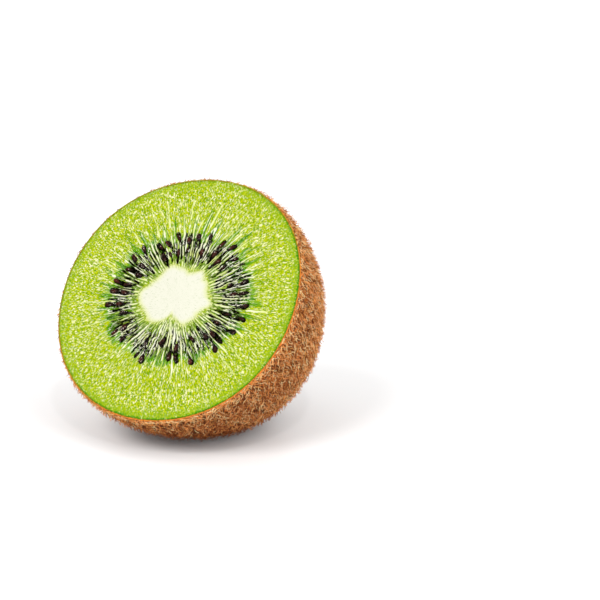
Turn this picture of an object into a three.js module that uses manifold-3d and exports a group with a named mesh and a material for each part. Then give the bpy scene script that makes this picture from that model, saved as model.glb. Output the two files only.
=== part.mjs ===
// Half of a green kiwi fruit, cut across its middle and lying on its rounded skin.
// Three layers run through it: the outer flesh with its skin, the darker inner flesh
// with its seeds, and the pale core. Millimetres, +Z up, standing on Z = 0, with the
// origin under the middle of its bounding box.
//
// Each layer is first built in the fruit's own frame. There the cut face lies in the
// XY plane, facing +Z, and the fruit's axis runs down from it along -Z to the stem end.

import * as THREE from "three";
import { mergeVertices } from "three/addons/utils/BufferGeometryUtils.js";
import Module from "manifold-3d";

const wasm = await Module();
wasm.setup();

// Driving dimensions of the fruit
const HALF_WIDTH = 25;          // half the long way across the cut
const FLATNESS = 0.96;          // the short way across, as a share of the long way
const DEPTH = 33;               // from the cut to the stem end, along the axis
const RIM_LOBES = [             // how the skin's outline departs from an ellipse
  { order: 3, share: 0.0043, at: 30 },
  { order: 4, share: 0.0072, at: 29 },
];

// The stem end: a shallow dimple with a small round stub in it
const DIMPLE_RADIUS = 3.4;
const DIMPLE_DEPTH = 0.7;
const STUB_RADIUS = 1.5;
const STUB_HEIGHT = 0.9;

// The inner flesh that holds the seeds, and the core
const RING_SHARE = 0.7;         // its radius at the cut, as a share of the skin's
const RING_DEPTH = 24.5;
const CORE_RADIUS = 6.45;
const CORE_DEPTH = 29;
const CORE_LOBES = [
  { order: 1, share: 0.133, at: 108 },
  { order: 2, share: 0.163, at: -18 },
  { order: 3, share: 0.068, at: -57 },
  { order: 4, share: 0.035, at: 8 },
  { order: 6, share: 0.067, at: -26 },
];
const CORE_CROWN = 0.35;        // how far the middle of the core stands proud of the cut
const GAP = 0.3;                // clearance between neighbouring layers

// Seeds: one or two in each locule, their long axis pointing to the core
const LOCULES = 34;
const SEED_LENGTH = 2.1;
const SEED_WIDTH = 1.25;
const SEED_THICKNESS = 1.0;
const SEED_BAND_RADIUS = 11.6;
const SEED_BAND_OVAL = 1.1;     // how much further out the band runs on its long axis
const SEED_BAND_OVAL_AT = -15;
const SEED_ROW_OFFSET = 1.35;   // from the middle of the band to its inner and outer rows
const INNER_ROW_SHARE = 0.7;    // how many locules show a seed in the inner row
const OUTER_ROW_SHARE = 0.92;

// How the half lies: its axis leans from straight down, and points away to the right
const AXIS_LEAN = 54.2;
const AXIS_TURN = 59.3;
const SECTION_ROLL = 24.4;      // the section's long way, turned about the axis
const REST_DEPTH = 0.7;         // height of the cap pressed flat where the fruit rests

// Facets
const SKIN_SEGMENTS = 64;
const INNER_SEGMENTS = 48;
const SKIN_RINGS = 14;
const INNER_RINGS = 8;
const LAST_SKIN_RING = 80;      // degrees from the cut, past which the stem end's rings begin
const OVERSHOOT = 2;            // how far a cutting body runs past the cut face

const radians = THREE.MathUtils.degToRad;

/** A repeatable draw between 0 and 1 for item `index` and purpose `key`. */
function draw(index, key) {
  const value = Math.sin(index * 12.9898 + key * 78.233) * 43758.5453;
  return value - Math.floor(value);
}

/** The factor by which lobes swell an outline at an angle. */
function swell(lobes, angle) {
  const terms = lobes.map(({ order, share, at }) => share * Math.cos(order * (angle - radians(at))));
  return 1 + terms.reduce((sum, term) => sum + term, 0);
}

/** The skin's radius at the cut: an ellipse with slight lobes. */
function skinRadius(angle) {
  const across = Math.hypot(Math.cos(angle), Math.sin(angle) / FLATNESS);
  return (HALF_WIDTH * swell(RIM_LOBES, angle)) / across;
}

/** The core's radius at the cut. */
function coreRadius(angle) {
  return CORE_RADIUS * swell(CORE_LOBES, angle);
}

/** The inner flesh's radius at the cut. */
function ringRadius(angle) {
  return RING_SHARE * skinRadius(angle);
}

/** A body turned from a profile of [share of the radius, height], shaped by an outline. */
function turned(profile, outline, segments, extra = 0) {
  const points = profile.map(([share, height]) => new THREE.Vector2(share, height));
  const geometry = new THREE.LatheGeometry(points, segments);
  geometry.rotateX(Math.PI / 2);
  const position = geometry.getAttribute("position");
  for (let i = 0; i < position.count; i += 1) {
    const x = position.getX(i);
    const y = position.getY(i);
    const reach = outline(Math.atan2(y, x)) + extra;
    position.setXY(i, x * reach, y * reach);
  }
  return geometry;
}

/** Profile of an ellipsoid's lower half, closed by a straight wall up to `top`. */
function bowlProfile(depth, rings, top) {
  const profile = [[0, -depth]];
  for (let ring = rings - 1; ring >= 0; ring -= 1) {
    const angle = (Math.PI / 2) * (ring / rings);
    profile.push([Math.cos(angle), -depth * Math.sin(angle)]);
  }
  if (top > 0) profile.push([1, top]);
  profile.push([0, top]);
  return profile;
}

/** How far the stem end departs from the plain ellipsoid, at a radius in millimetres. */
function stemRelief(radius) {
  const dimple = DIMPLE_DEPTH * Math.exp(-((radius / DIMPLE_RADIUS) ** 4));
  const stub = STUB_HEIGHT * (1 - THREE.MathUtils.smoothstep(radius, STUB_RADIUS * 0.8, STUB_RADIUS * 1.2));
  return stub - dimple;
}

/** Profile of the whole half: the ellipsoid, with finer rings and relief at the stem end. */
function skinProfile() {
  const angles = [];
  for (let ring = 0; ring <= SKIN_RINGS; ring += 1) angles.push(radians((LAST_SKIN_RING * ring) / SKIN_RINGS));
  for (const radius of [DIMPLE_RADIUS, 2.4, STUB_RADIUS * 1.2, STUB_RADIUS * 0.8, 0]) {
    angles.push(Math.acos(radius / HALF_WIDTH));
  }
  const profile = angles.map((angle) => {
    const share = Math.cos(angle);
    return [share, -DEPTH * Math.sin(angle) - stemRelief(share * HALF_WIDTH)];
  });
  profile[profile.length - 1][0] = 0;
  return [...profile.reverse(), [0, 0]];
}

/** A closed geometry as a solid that can be joined and cut. */
function toSolid(geometry) {
  const bare = geometry.clone();
  bare.deleteAttribute("normal");
  bare.deleteAttribute("uv");
  const merged = mergeVertices(bare, 1e-4);
  const corners = merged.getIndex().array;
  const kept = [];
  for (let i = 0; i < corners.length; i += 3) {
    const [a, b, c] = corners.slice(i, i + 3);
    if (a !== b && b !== c && c !== a) kept.push(a, b, c);
  }
  const vertProperties = new Float32Array(merged.getAttribute("position").array);
  return new wasm.Manifold(new wasm.Mesh({ numProp: 3, vertProperties, triVerts: new Uint32Array(kept) }));
}

/** A solid as a geometry with flat faces. */
function toGeometry(solid) {
  const mesh = solid.getMesh();
  const geometry = new THREE.BufferGeometry();
  geometry.setAttribute("position", new THREE.BufferAttribute(mesh.vertProperties, 3));
  geometry.setIndex(new THREE.BufferAttribute(mesh.triVerts, 1));
  geometry.computeVertexNormals();
  return geometry;
}

/** One seed: a drop with its narrow end to the core, half sunk in the cut. */
function seed(angle, radius, index) {
  const size = 0.88 + 0.24 * draw(index, 5);
  const geometry = new THREE.SphereGeometry(0.5, 5, 4);
  const position = geometry.getAttribute("position");
  for (let i = 0; i < position.count; i += 1) {
    const x = position.getX(i);
    const taper = 1 + 0.5 * x;
    position.setXYZ(
      i,
      x * SEED_LENGTH * size,
      position.getY(i) * SEED_WIDTH * size * taper,
      position.getZ(i) * SEED_THICKNESS * size * taper,
    );
  }
  geometry.rotateZ(angle + radians(50) * (draw(index, 6) - 0.5));
  geometry.translate(radius * Math.cos(angle), radius * Math.sin(angle), 0.1 * (draw(index, 7) - 0.5));
  return toSolid(geometry);
}

/** Every seed of the cut, row by row, kept clear of the core and of the outer flesh. */
function seeds() {
  const reach = SEED_LENGTH * 0.56 + 2 * GAP;
  const solids = [];
  for (let locule = 0; locule < LOCULES; locule += 1) {
    const angle = (2 * Math.PI * (locule + 0.5 * (draw(locule, 1) - 0.5))) / LOCULES;
    const band = SEED_BAND_RADIUS + SEED_BAND_OVAL * Math.cos(2 * (angle - radians(SEED_BAND_OVAL_AT)));
    const inner = band - SEED_ROW_OFFSET + 1.6 * (draw(locule, 2) - 0.5);
    const outer = Math.max(band + SEED_ROW_OFFSET + 2.0 * (draw(locule, 3) - 0.5), inner + SEED_LENGTH + 0.1);
    const nearest = coreRadius(angle) + reach;
    const furthest = ringRadius(angle) - reach;
    if (draw(locule, 4) < INNER_ROW_SHARE) {
      solids.push(seed(angle, THREE.MathUtils.clamp(inner, nearest, furthest), 2 * locule));
    }
    if (draw(locule, 8) < OUTER_ROW_SHARE) {
      solids.push(seed(angle, THREE.MathUtils.clamp(outer, nearest, furthest), 2 * locule + 1));
    }
  }
  return solids;
}

/** The matrix that lays the fruit's own frame down, with the cut's centre at its height. */
function layingMatrix() {
  const lean = radians(AXIS_LEAN);
  const turn = radians(AXIS_TURN);
  const roll = radians(SECTION_ROLL);
  const axis = new THREE.Vector3(
    Math.sin(lean) * Math.cos(turn),
    Math.sin(lean) * Math.sin(turn),
    -Math.cos(lean),
  );
  const level = new THREE.Vector3(Math.sin(turn), -Math.cos(turn), 0);
  const upward = new THREE.Vector3().crossVectors(level, axis);
  const long = level.clone().multiplyScalar(Math.cos(roll)).addScaledVector(upward, Math.sin(roll));
  const short = upward.clone().multiplyScalar(Math.cos(roll)).addScaledVector(level, -Math.sin(roll));
  const below = Math.hypot(HALF_WIDTH * long.z, HALF_WIDTH * FLATNESS * short.z, DEPTH * axis.z);
  return new THREE.Matrix4()
    .makeBasis(long, short, axis.clone().negate())
    .setPosition(0, 0, below - REST_DEPTH);
}

/** A layer laid down as the fruit lies. */
function laid(solid, laying) {
  return toSolid(toGeometry(solid).applyMatrix4(laying));
}

/** A named mesh of one layer, moved so that the fruit's box is centred on the origin. */
function layer(name, solid, centre, colour, roughness) {
  const geometry = toGeometry(solid).translate(-centre.x, -centre.y, 0);
  const material = new THREE.MeshStandardMaterial({ color: colour, roughness, metalness: 0 });
  const mesh = new THREE.Mesh(geometry, material);
  mesh.name = name;
  return mesh;
}

// The layers in the fruit's own frame
const coreProfile = bowlProfile(CORE_DEPTH, INNER_RINGS, 0);
coreProfile.pop();
coreProfile.push([0.6, CORE_CROWN * 0.7], [0, CORE_CROWN]);
const core = toSolid(turned(coreProfile, coreRadius, INNER_SEGMENTS));

const coreRoom = toSolid(turned(bowlProfile(CORE_DEPTH + GAP, INNER_RINGS, OVERSHOOT), coreRadius, INNER_SEGMENTS, GAP));
const ringRoom = toSolid(turned(bowlProfile(RING_DEPTH + GAP, INNER_RINGS, OVERSHOOT), ringRadius, INNER_SEGMENTS, GAP));
const ringBody = toSolid(turned(bowlProfile(RING_DEPTH, INNER_RINGS, 0), ringRadius, INNER_SEGMENTS));
const ring = wasm.Manifold.union([ringBody.subtract(coreRoom), ...seeds()]);

const whole = toSolid(turned(skinProfile(), skinRadius, SKIN_SEGMENTS));
const flesh = whole.subtract(ringRoom).subtract(coreRoom);

// The fruit laid down and pressed flat where it rests
const laying = layingMatrix();
const floorSide = 4 * DEPTH;
const floor = toSolid(new THREE.BoxGeometry(floorSide, floorSide, floorSide).translate(0, 0, -floorSide / 2));
const laidFlesh = laid(flesh, laying).subtract(floor);
const box = new THREE.Box3().setFromBufferAttribute(toGeometry(laidFlesh).getAttribute("position"));
const centre = box.getCenter(new THREE.Vector3());

const kiwiHalf = new THREE.Group();
kiwiHalf.add(layer("flesh", laidFlesh, centre, 0x9cc92e, 0.45));
kiwiHalf.add(layer("seed_ring", laid(ring, laying), centre, 0x5f8f24, 0.4));
kiwiHalf.add(layer("core", laid(core, laying), centre, 0xf4f3d8, 0.6));

export default kiwiHalf;
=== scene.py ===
"""Half of a green kiwi fruit, cut across its middle and lying on its fuzzy skin.

Every piece is worked out in the fruit's own frame, in millimetres. There the cut lies in the XY plane
and faces +Z, and the fruit's axis runs down from it along -Z to the stem end. FruitForm.place lays
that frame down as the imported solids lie, in metres.

A Range holds two limits: what it belongs to rises from 0 at the first to 1 at the second, which may be
the lower one. A Pair is just two numbers.
"""

import logging
from dataclasses import dataclass, field, replace
from enum import Enum, IntEnum

import bpy
import numpy as np
from mathutils import Matrix, Vector


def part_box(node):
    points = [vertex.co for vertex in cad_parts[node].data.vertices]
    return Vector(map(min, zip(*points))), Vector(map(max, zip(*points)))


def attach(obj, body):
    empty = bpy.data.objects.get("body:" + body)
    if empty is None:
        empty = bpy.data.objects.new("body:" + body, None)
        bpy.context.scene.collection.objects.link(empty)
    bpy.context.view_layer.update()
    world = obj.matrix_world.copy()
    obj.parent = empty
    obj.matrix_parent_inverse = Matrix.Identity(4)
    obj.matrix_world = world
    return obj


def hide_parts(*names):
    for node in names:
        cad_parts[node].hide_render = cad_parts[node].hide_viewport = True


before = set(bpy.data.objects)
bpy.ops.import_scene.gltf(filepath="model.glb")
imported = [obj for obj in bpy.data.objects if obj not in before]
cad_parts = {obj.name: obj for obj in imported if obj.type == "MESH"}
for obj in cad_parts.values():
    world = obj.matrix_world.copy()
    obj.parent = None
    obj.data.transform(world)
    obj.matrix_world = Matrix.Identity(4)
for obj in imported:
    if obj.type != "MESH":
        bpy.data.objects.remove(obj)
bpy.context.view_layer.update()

BODY = "root"
MM = 0.001
TURN = 2.0 * np.pi
QUARTER_TURN = np.pi / 2
BAKE_MAP = "OFBake"
LATTICE_ROW = 613.0
LOCK_ROW = 211.0
SINE_STEP = 12.9898
SINE_KEY = 78.233
SINE_GAIN = 43758.5453
FACING_ANGLE = 70.0
RAYS = 86

log = logging.getLogger("kiwi")

Array = np.ndarray
Colour = tuple[float, float, float, float]
Range = tuple[float, float]
Pair = tuple[float, float]
Part = tuple[Array, Array, Array]


def draw(index: Array, key: float) -> Array:
    """Give a repeatable number from 0 to 1: the fraction of a large multiple of a sine.

    Args:
        index: what the draw is for, one value for each item.
        key: the purpose of the draw, so that one item can have several.

    Returns:
        One number for each index.
    """
    value = np.sin(np.asarray(index, float) * SINE_STEP + key * SINE_KEY) * SINE_GAIN
    return value - np.floor(value)


def smooth(low: float, high: float, value: Array) -> Array:
    """Rise from 0 at low to 1 at high along 3t^2 - 2t^3.

    Args:
        low: where the rise starts.
        high: where it ends; below low, the curve falls instead.
        value: where to read it.

    Returns:
        Numbers from 0 to 1.
    """
    t = np.clip((value - low) / (high - low), 0.0, 1.0)
    return t * t * (3.0 - 2.0 * t)


def ring_noise(angle: Array, along: Array, around: int, length: float, key: float) -> Array:
    """Give smooth noise on a cylinder, which closes on itself round the circle.

    Draws sit on a lattice of `around` columns and rows `length` apart, and between them the
    value is bilinear in smoothed steps.

    Args:
        angle: place round the circle, in radians.
        along: place along the other direction, in millimetres.
        around: lattice columns in a full turn.
        length: distance between lattice rows, in millimetres.
        key: the purpose of the noise.

    Returns:
        Numbers from 0 to 1.
    """
    column, row = np.broadcast_arrays(angle / TURN * around, along / length)
    left, low = np.floor(column), np.floor(row)
    u, v = smooth(0.0, 1.0, column - left), smooth(0.0, 1.0, row - low)

    def corner(right: int, up: int) -> Array:
        """Give the draw at one corner of each lattice cell."""
        return draw(np.mod(left + right, around) + LATTICE_ROW * (low + up), key)

    lower = corner(0, 0) * (1.0 - u) + corner(1, 0) * u
    upper = corner(0, 1) * (1.0 - u) + corner(1, 1) * u
    return lower * (1.0 - v) + upper * v


def unit(vectors: Array) -> Array:
    """Scale each vector in the last axis to length 1."""
    return vectors / np.maximum(np.linalg.norm(vectors, axis=-1, keepdims=True), 1e-12)


def round_angles(around: int) -> Array:
    """Give the angles of so many even steps round a circle, in radians."""
    return np.arange(around) * TURN / around


def round_points(radius: Array, angle: Array, height: Array) -> Array:
    """Give the points at polar places and heights, with x, y and z in the last axis."""
    x, y, z = np.broadcast_arrays(radius * np.cos(angle), radius * np.sin(angle), height)
    return np.stack([x, y, z], axis=-1)


def facing(angle: Array) -> Array:
    """Give 1 where the rim faces the floor and the light, and 0 on the far side: a raised cosine."""
    return 0.5 + 0.5 * np.cos(angle + np.radians(FACING_ANGLE))


@dataclass(frozen=True)
class Varied:
    """A value that differs from item to item: the least one, plus a draw times the spread."""

    least: float
    spread: float
    key: int

    def of(self, number: Array) -> Array:
        """Give the value of each numbered item."""
        return self.least + self.spread * draw(number, self.key)


@dataclass(frozen=True)
class Patches:
    """Uneven patches: ring noise with so many cells round, each so long, faded between two limits."""

    around: int
    length: float
    limits: Range
    key: int

    def at(self, angle: Array, radius: Array) -> Array:
        """Give the patches, from 0 to 1, at places of the cut."""
        return smooth(*self.limits, ring_noise(angle, radius, self.around, self.length, self.key))


@dataclass(frozen=True)
class Lobe:
    """A swelling that repeats `order` times round an outline, with its first crest at `at` degrees."""

    order: int
    share: float
    at: float


def swell(lobes: tuple[Lobe, ...], angle: Array) -> Array:
    """Give the factor by which lobes swell an outline: 1 plus the sum of their cosines."""
    return 1.0 + sum(lobe.share * np.cos(lobe.order * (angle - np.radians(lobe.at))) for lobe in lobes)


@dataclass(frozen=True)
class FruitForm:
    """Sizes of the half fruit, in millimetres and degrees, and how it lies.

    They are the solids' own sizes, so that each piece here has the form of the node it replaces.
    """

    half_width: float = 25.0
    flatness: float = 0.96
    depth: float = 33.0
    rim_lobes: tuple[Lobe, ...] = (Lobe(3, 0.0043, 30), Lobe(4, 0.0072, 29))
    dimple_radius: float = 3.4
    dimple_depth: float = 0.7
    stub_radius: float = 1.5
    stub_height: float = 0.9
    stub_slope: Range = (1.2, 0.8)
    ring_share: float = 0.7
    ring_depth: float = 24.5
    core_mean: float = 6.45
    core_depth: float = 29.0
    core_lobes: tuple[Lobe, ...] = (
        Lobe(1, 0.133, 108),
        Lobe(2, 0.163, -18),
        Lobe(3, 0.068, -57),
        Lobe(4, 0.035, 8),
        Lobe(6, 0.067, -26),
    )
    core_crown: float = 0.35
    axis_lean: float = 54.2
    axis_turn: float = 59.3
    section_roll: float = 24.4
    rest_depth: float = 0.7
    centre: Array = field(default_factory=lambda: np.zeros(3))

    def skin_radius(self, angle: Array) -> Array:
        """Give the skin's radius at the cut: an ellipse, a over hypot(cos, sin / flatness), with lobes."""
        across = np.hypot(np.cos(angle), np.sin(angle) / self.flatness)
        return self.half_width * swell(self.rim_lobes, angle) / across

    def ring_radius(self, angle: Array) -> Array:
        """Give the inner flesh's radius at the cut, a share of the skin's."""
        return self.ring_share * self.skin_radius(angle)

    def core_radius(self, angle: Array) -> Array:
        """Give the core's radius at the cut, a circle with strong lobes."""
        return self.core_mean * swell(self.core_lobes, angle)

    def stem_relief(self, radius: Array) -> Array:
        """Give how far the stem end stands out from the plain ellipsoid: a stub in a dimple."""
        dimple = self.dimple_depth * np.exp(-((radius / self.dimple_radius) ** 4))
        foot, top = self.stub_slope
        stub = self.stub_height * smooth(foot * self.stub_radius, top * self.stub_radius, radius)
        return stub - dimple

    def skin_point(self, angle: Array, fall: Array, inset: float = 0.0) -> Array:
        """Give points of the skin: an ellipsoid, (R cos fall, -D sin fall), with the stem end's relief.

        Args:
            angle: place round the axis, in radians.
            fall: 0 at the cut and a quarter turn at the stem end, in radians.
            inset: how far inside the skin the points lie.

        Returns:
            Points in the fruit's frame, with x, y and z in the last axis.
        """
        angle, fall = np.broadcast_arrays(angle, fall)
        radius = (self.skin_radius(angle) - inset) * np.cos(fall)
        height = -(self.depth - inset) * np.sin(fall) - self.stem_relief(self.half_width * np.cos(fall))
        return round_points(radius, angle, height)

    def semi_axes(self) -> Array:
        """Give the plain ellipsoid's three half sizes."""
        return np.array([self.half_width, self.half_width * self.flatness, self.depth])

    def skin_normal(self, points: Array) -> Array:
        """Give the outward direction of the ellipsoid at points on it, its gradient made unit length."""
        return unit(points / self.semi_axes() ** 2)

    def basis(self) -> Array:
        """Give the row's directions of the section's long way, its short way and the cut's normal."""
        lean, turn, roll = np.radians([self.axis_lean, self.axis_turn, self.section_roll])
        axis = np.array([np.sin(lean) * np.cos(turn), np.sin(lean) * np.sin(turn), -np.cos(lean)])
        level = np.array([np.sin(turn), -np.cos(turn), 0.0])
        upward = np.cross(level, axis)
        long_way = np.cos(roll) * level + np.sin(roll) * upward
        short_way = np.cos(roll) * upward - np.sin(roll) * level
        return np.stack([long_way, short_way, -axis])

    def laid_on(self, low: Vector, high: Vector) -> "FruitForm":
        """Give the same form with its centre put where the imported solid's box has it.

        The box of the worked-out skin, turned as it lies, is centred on the solid's box, and its
        lowest point is sunk by the cap that is pressed flat.

        Args:
            low: the lowest corner of the flesh node's box, in metres.
            high: its highest corner.

        Returns:
            The form with `centre` set, in millimetres.
        """
        angle = np.linspace(0.0, TURN, 721)[None, :]
        fall = np.linspace(0.0, QUARTER_TURN, 181)[:, None]
        turned = self.skin_point(angle, fall).reshape(-1, 3) @ self.basis()
        middle = (np.array(low) + np.array(high)) / (2 * MM)
        centre = middle - (turned.min(0) + turned.max(0)) / 2
        centre[2] = np.linalg.norm(self.semi_axes() * self.basis()[:, 2]) - self.rest_depth
        return replace(self, centre=centre)

    def above_floor(self, points: Array) -> Array:
        """Give the height above the floor, in millimetres, of points in the fruit's own axes."""
        return (points @ self.basis() + self.centre)[:, 2]

    def place(self, points: Array, clearance: float = 0.0) -> Array:
        """Lay points of the fruit's frame down in the row's frame, in metres.

        Args:
            points: points in millimetres, x, y and z in the last axis.
            clearance: the height that nothing goes below, where the fruit is pressed flat.

        Returns:
            The same points in metres.
        """
        laid = points @ self.basis() + self.centre
        laid[..., 2] = np.maximum(laid[..., 2], clearance)
        return laid * MM


def add_mesh(name: str, points: Array, quads: Array, triangles: Array) -> bpy.types.Object:
    """Make a smooth mesh object at the origin from arrays.

    Args:
        name: the object's name.
        points: vertices in metres, one row each.
        quads: four vertex numbers a row.
        triangles: three vertex numbers a row.

    Returns:
        The linked object.
    """
    mesh = bpy.data.meshes.new(name)
    mesh.vertices.add(len(points))
    mesh.vertices.foreach_set("co", np.ascontiguousarray(points, np.float32).ravel())
    corners = np.concatenate([quads.ravel(), triangles.ravel()]).astype(np.int32)
    starts = np.concatenate([
        4 * np.arange(len(quads)),
        4 * len(quads) + 3 * np.arange(len(triangles)),
    ]).astype(np.int32)
    mesh.loops.add(len(corners))
    mesh.loops.foreach_set("vertex_index", corners)
    mesh.polygons.add(len(starts))
    mesh.polygons.foreach_set("loop_start", starts)
    mesh.polygons.foreach_set("use_smooth", np.ones(len(starts), bool))
    mesh.update(calc_edges=True)
    piece = bpy.data.objects.new(name, mesh)
    bpy.context.scene.collection.objects.link(piece)
    return piece


def ring_faces(rows: int, around: int, poles: bool = True, looped: bool = False) -> tuple[Array, Array]:
    """Join rows of vertices, each a closed ring, into faces that keep one winding.

    Vertices are numbered row by row. Where there are poles, the one that closes the first ring
    comes after all rows, and the one that closes the last ring after it.

    Args:
        rows: how many rings there are.
        around: vertices in each ring.
        poles: whether one vertex closes each of the two outermost rings.
        looped: whether the last ring joins the first.

    Returns:
        The quads and the triangles.
    """
    here = np.arange(around)
    following = np.roll(here, -1)
    lower = np.arange(rows if looped else rows - 1)[:, None] * around
    upper = np.mod(lower + around, rows * around)
    quads = np.stack([lower + here, lower + following, upper + following, upper + here], axis=-1)
    triangles = np.zeros((0, 3), int)
    if poles:
        top, pole = (rows - 1) * around, np.full(around, rows * around)
        triangles = np.concatenate([
            np.stack([pole, following, here], axis=-1),
            np.stack([pole + 1, top + here, top + following], axis=-1),
        ])
    return quads.reshape(-1, 4), triangles


def for_copies(faces: Array, copies: int, size: int) -> Array:
    """Repeat the faces of one part for like parts whose vertices follow each other.

    Args:
        faces: the first part's faces.
        copies: how many parts there are.
        size: how many vertices each part has.

    Returns:
        The faces of all parts.
    """
    start = (np.arange(copies) * size)[:, None, None]
    return (faces[None] + start).reshape(-1, faces.shape[1])


def set_attribute(piece: bpy.types.Object, name: str, values: Array) -> None:
    """Store one number, or one vector, for each vertex of a piece.

    Args:
        piece: a mesh object.
        name: the attribute's name, which the materials read.
        values: one row for each vertex.
    """
    vector = values.ndim == 2
    made = piece.data.attributes.new(name, "FLOAT_VECTOR" if vector else "FLOAT", "POINT")
    made.data.foreach_set("vector" if vector else "value", np.ascontiguousarray(values, np.float32).ravel())


def set_bake_map(piece: bpy.types.Object, places: Array) -> None:
    """Give a piece a UV map from one place for each vertex.

    Args:
        piece: a mesh object.
        places: u and v for each vertex.
    """
    corners = np.zeros(len(piece.data.loops), np.int32)
    piece.data.loops.foreach_get("vertex_index", corners)
    layer = piece.data.uv_layers.new(name=BAKE_MAP)
    layer.data.foreach_set("uv", np.ascontiguousarray(places[corners], np.float32).ravel())


def dress(piece: bpy.types.Object, material: bpy.types.Material, slot: str, *nodes: str) -> None:
    """Give a piece its material and body, and hide the nodes that it replaces.

    Args:
        piece: the finished object.
        material: its material.
        slot: not used.
        nodes: the CAD nodes that it replaces, if any.
    """
    piece.data.materials.append(material)
    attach(piece, BODY)
    if nodes:
        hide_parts(*nodes)
    log.info("%s: %d faces", piece.name, len(piece.data.polygons))


def colour(red: int, green: int, blue: int) -> Colour:
    """Turn a display colour, 0 to 255 a channel, into a linear one for a shader."""
    display = np.array([red, green, blue]) / 255.0
    linear = np.where(display <= 0.04045, display / 12.92, ((display + 0.055) / 1.055) ** 2.4)
    return (float(linear[0]), float(linear[1]), float(linear[2]), 1.0)


Socket = bpy.types.NodeSocket
Value = Socket | float | Colour


class Wiring:
    """Short calls for making and linking the nodes of one tree."""

    def __init__(self, tree: bpy.types.NodeTree) -> None:
        """Keep the tree that the nodes go into."""
        self.tree = tree

    def node(self, kind: str, **settings: object) -> bpy.types.Node:
        """Add a node and set its properties."""
        made = self.tree.nodes.new(kind)
        for name, value in settings.items():
            setattr(made, name, value)
        return made

    def feed(self, target: Socket, value: Value) -> None:
        """Link a socket to an input, or set the input to a constant."""
        if isinstance(value, bpy.types.NodeSocket):
            self.tree.links.new(value, target)
        else:
            target.default_value = value

    def math(self, operation: str, first: Value, second: Value = 0.0, third: Value = 0.0) -> Socket:
        """Work out one number from up to three."""
        made = self.node("ShaderNodeMath", operation=operation)
        for target, value in zip(made.inputs, (first, second, third)):
            self.feed(target, value)
        return made.outputs[0]

    def times(self, first: Value, second: Value) -> Socket:
        """Multiply two numbers."""
        return self.math("MULTIPLY", first, second)

    def gained(self, value: Value, gain: Value, start: Value) -> Socket:
        """Multiply a number by a gain and add it to a start."""
        return self.math("MULTIPLY_ADD", value, gain, start)

    def mix(self, factor: Value, low: Value, high: Value) -> Socket:
        """Blend two colours by a factor."""
        made = self.node("ShaderNodeMix", data_type="RGBA")
        self.feed(made.inputs[0], factor)
        self.feed(made.inputs[6], low)
        self.feed(made.inputs[7], high)
        return made.outputs[2]

    def fade(self, value: Value, limits: Range) -> Socket:
        """Rise smoothly from 0 at the first limit to 1 at the second, or fall if that is lower."""
        made = self.node("ShaderNodeMapRange", interpolation_type="SMOOTHSTEP")
        self.feed(made.inputs["Value"], value)
        falling = limits[1] < limits[0]
        made.inputs["From Min"].default_value = min(limits)
        made.inputs["From Max"].default_value = max(limits)
        made.inputs["To Min"].default_value = 1.0 if falling else 0.0
        made.inputs["To Max"].default_value = 0.0 if falling else 1.0
        return made.outputs["Result"]

    def noise(self, vector: Socket, scale: Value, detail: float) -> Socket:
        """Give fractal noise from 0 to 1 at a vector."""
        made = self.node("ShaderNodeTexNoise")
        self.feed(made.inputs["Vector"], vector)
        self.feed(made.inputs["Scale"], scale)
        made.inputs["Detail"].default_value = detail
        return made.outputs["Fac"]

    def cells(self, vector: Socket, scale: Value) -> Socket:
        """Give the distance to the nearest of many scattered points."""
        made = self.node("ShaderNodeTexVoronoi", feature="F1")
        self.feed(made.inputs["Vector"], vector)
        self.feed(made.inputs["Scale"], scale)
        return made.outputs["Distance"]

    def attribute(self, name: str) -> bpy.types.Node:
        """Read what is stored on the mesh under a name."""
        return self.node("ShaderNodeAttribute", attribute_type="GEOMETRY", attribute_name=name)

    def mask(self, name: str) -> Socket:
        """Read a number that is stored on the mesh."""
        return self.attribute(name).outputs["Fac"]

    def parts(self, vector: Socket) -> list[Socket]:
        """Take a vector apart into x, y and z."""
        made = self.node("ShaderNodeSeparateXYZ")
        self.feed(made.inputs[0], vector)
        return list(made.outputs)

    def bump(self, height: Socket, strength: float, distance: float) -> Socket:
        """Turn a height into a normal."""
        made = self.node("ShaderNodeBump")
        made.inputs["Strength"].default_value = strength
        made.inputs["Distance"].default_value = distance
        self.feed(made.inputs["Height"], height)
        return made.outputs["Normal"]


def new_group(name: str, inputs: dict[str, str], outputs: list[str]) -> tuple[Wiring, Socket, Socket]:
    """Start a shader node group with named sockets.

    Args:
        name: the group's name.
        inputs: socket name to socket type, such as NodeSocketFloat.
        outputs: the names of the numbers that the group puts out.

    Returns:
        The group's wiring, its inner inputs and its inner outputs.
    """
    tree = bpy.data.node_groups.new(name, "ShaderNodeTree")
    for socket, kind in inputs.items():
        tree.interface.new_socket(name=socket, in_out="INPUT", socket_type=kind)
    for socket in outputs:
        tree.interface.new_socket(name=socket, in_out="OUTPUT", socket_type="NodeSocketFloat")
    wiring = Wiring(tree)
    return wiring, wiring.node("NodeGroupInput").outputs, wiring.node("NodeGroupOutput").inputs


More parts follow.
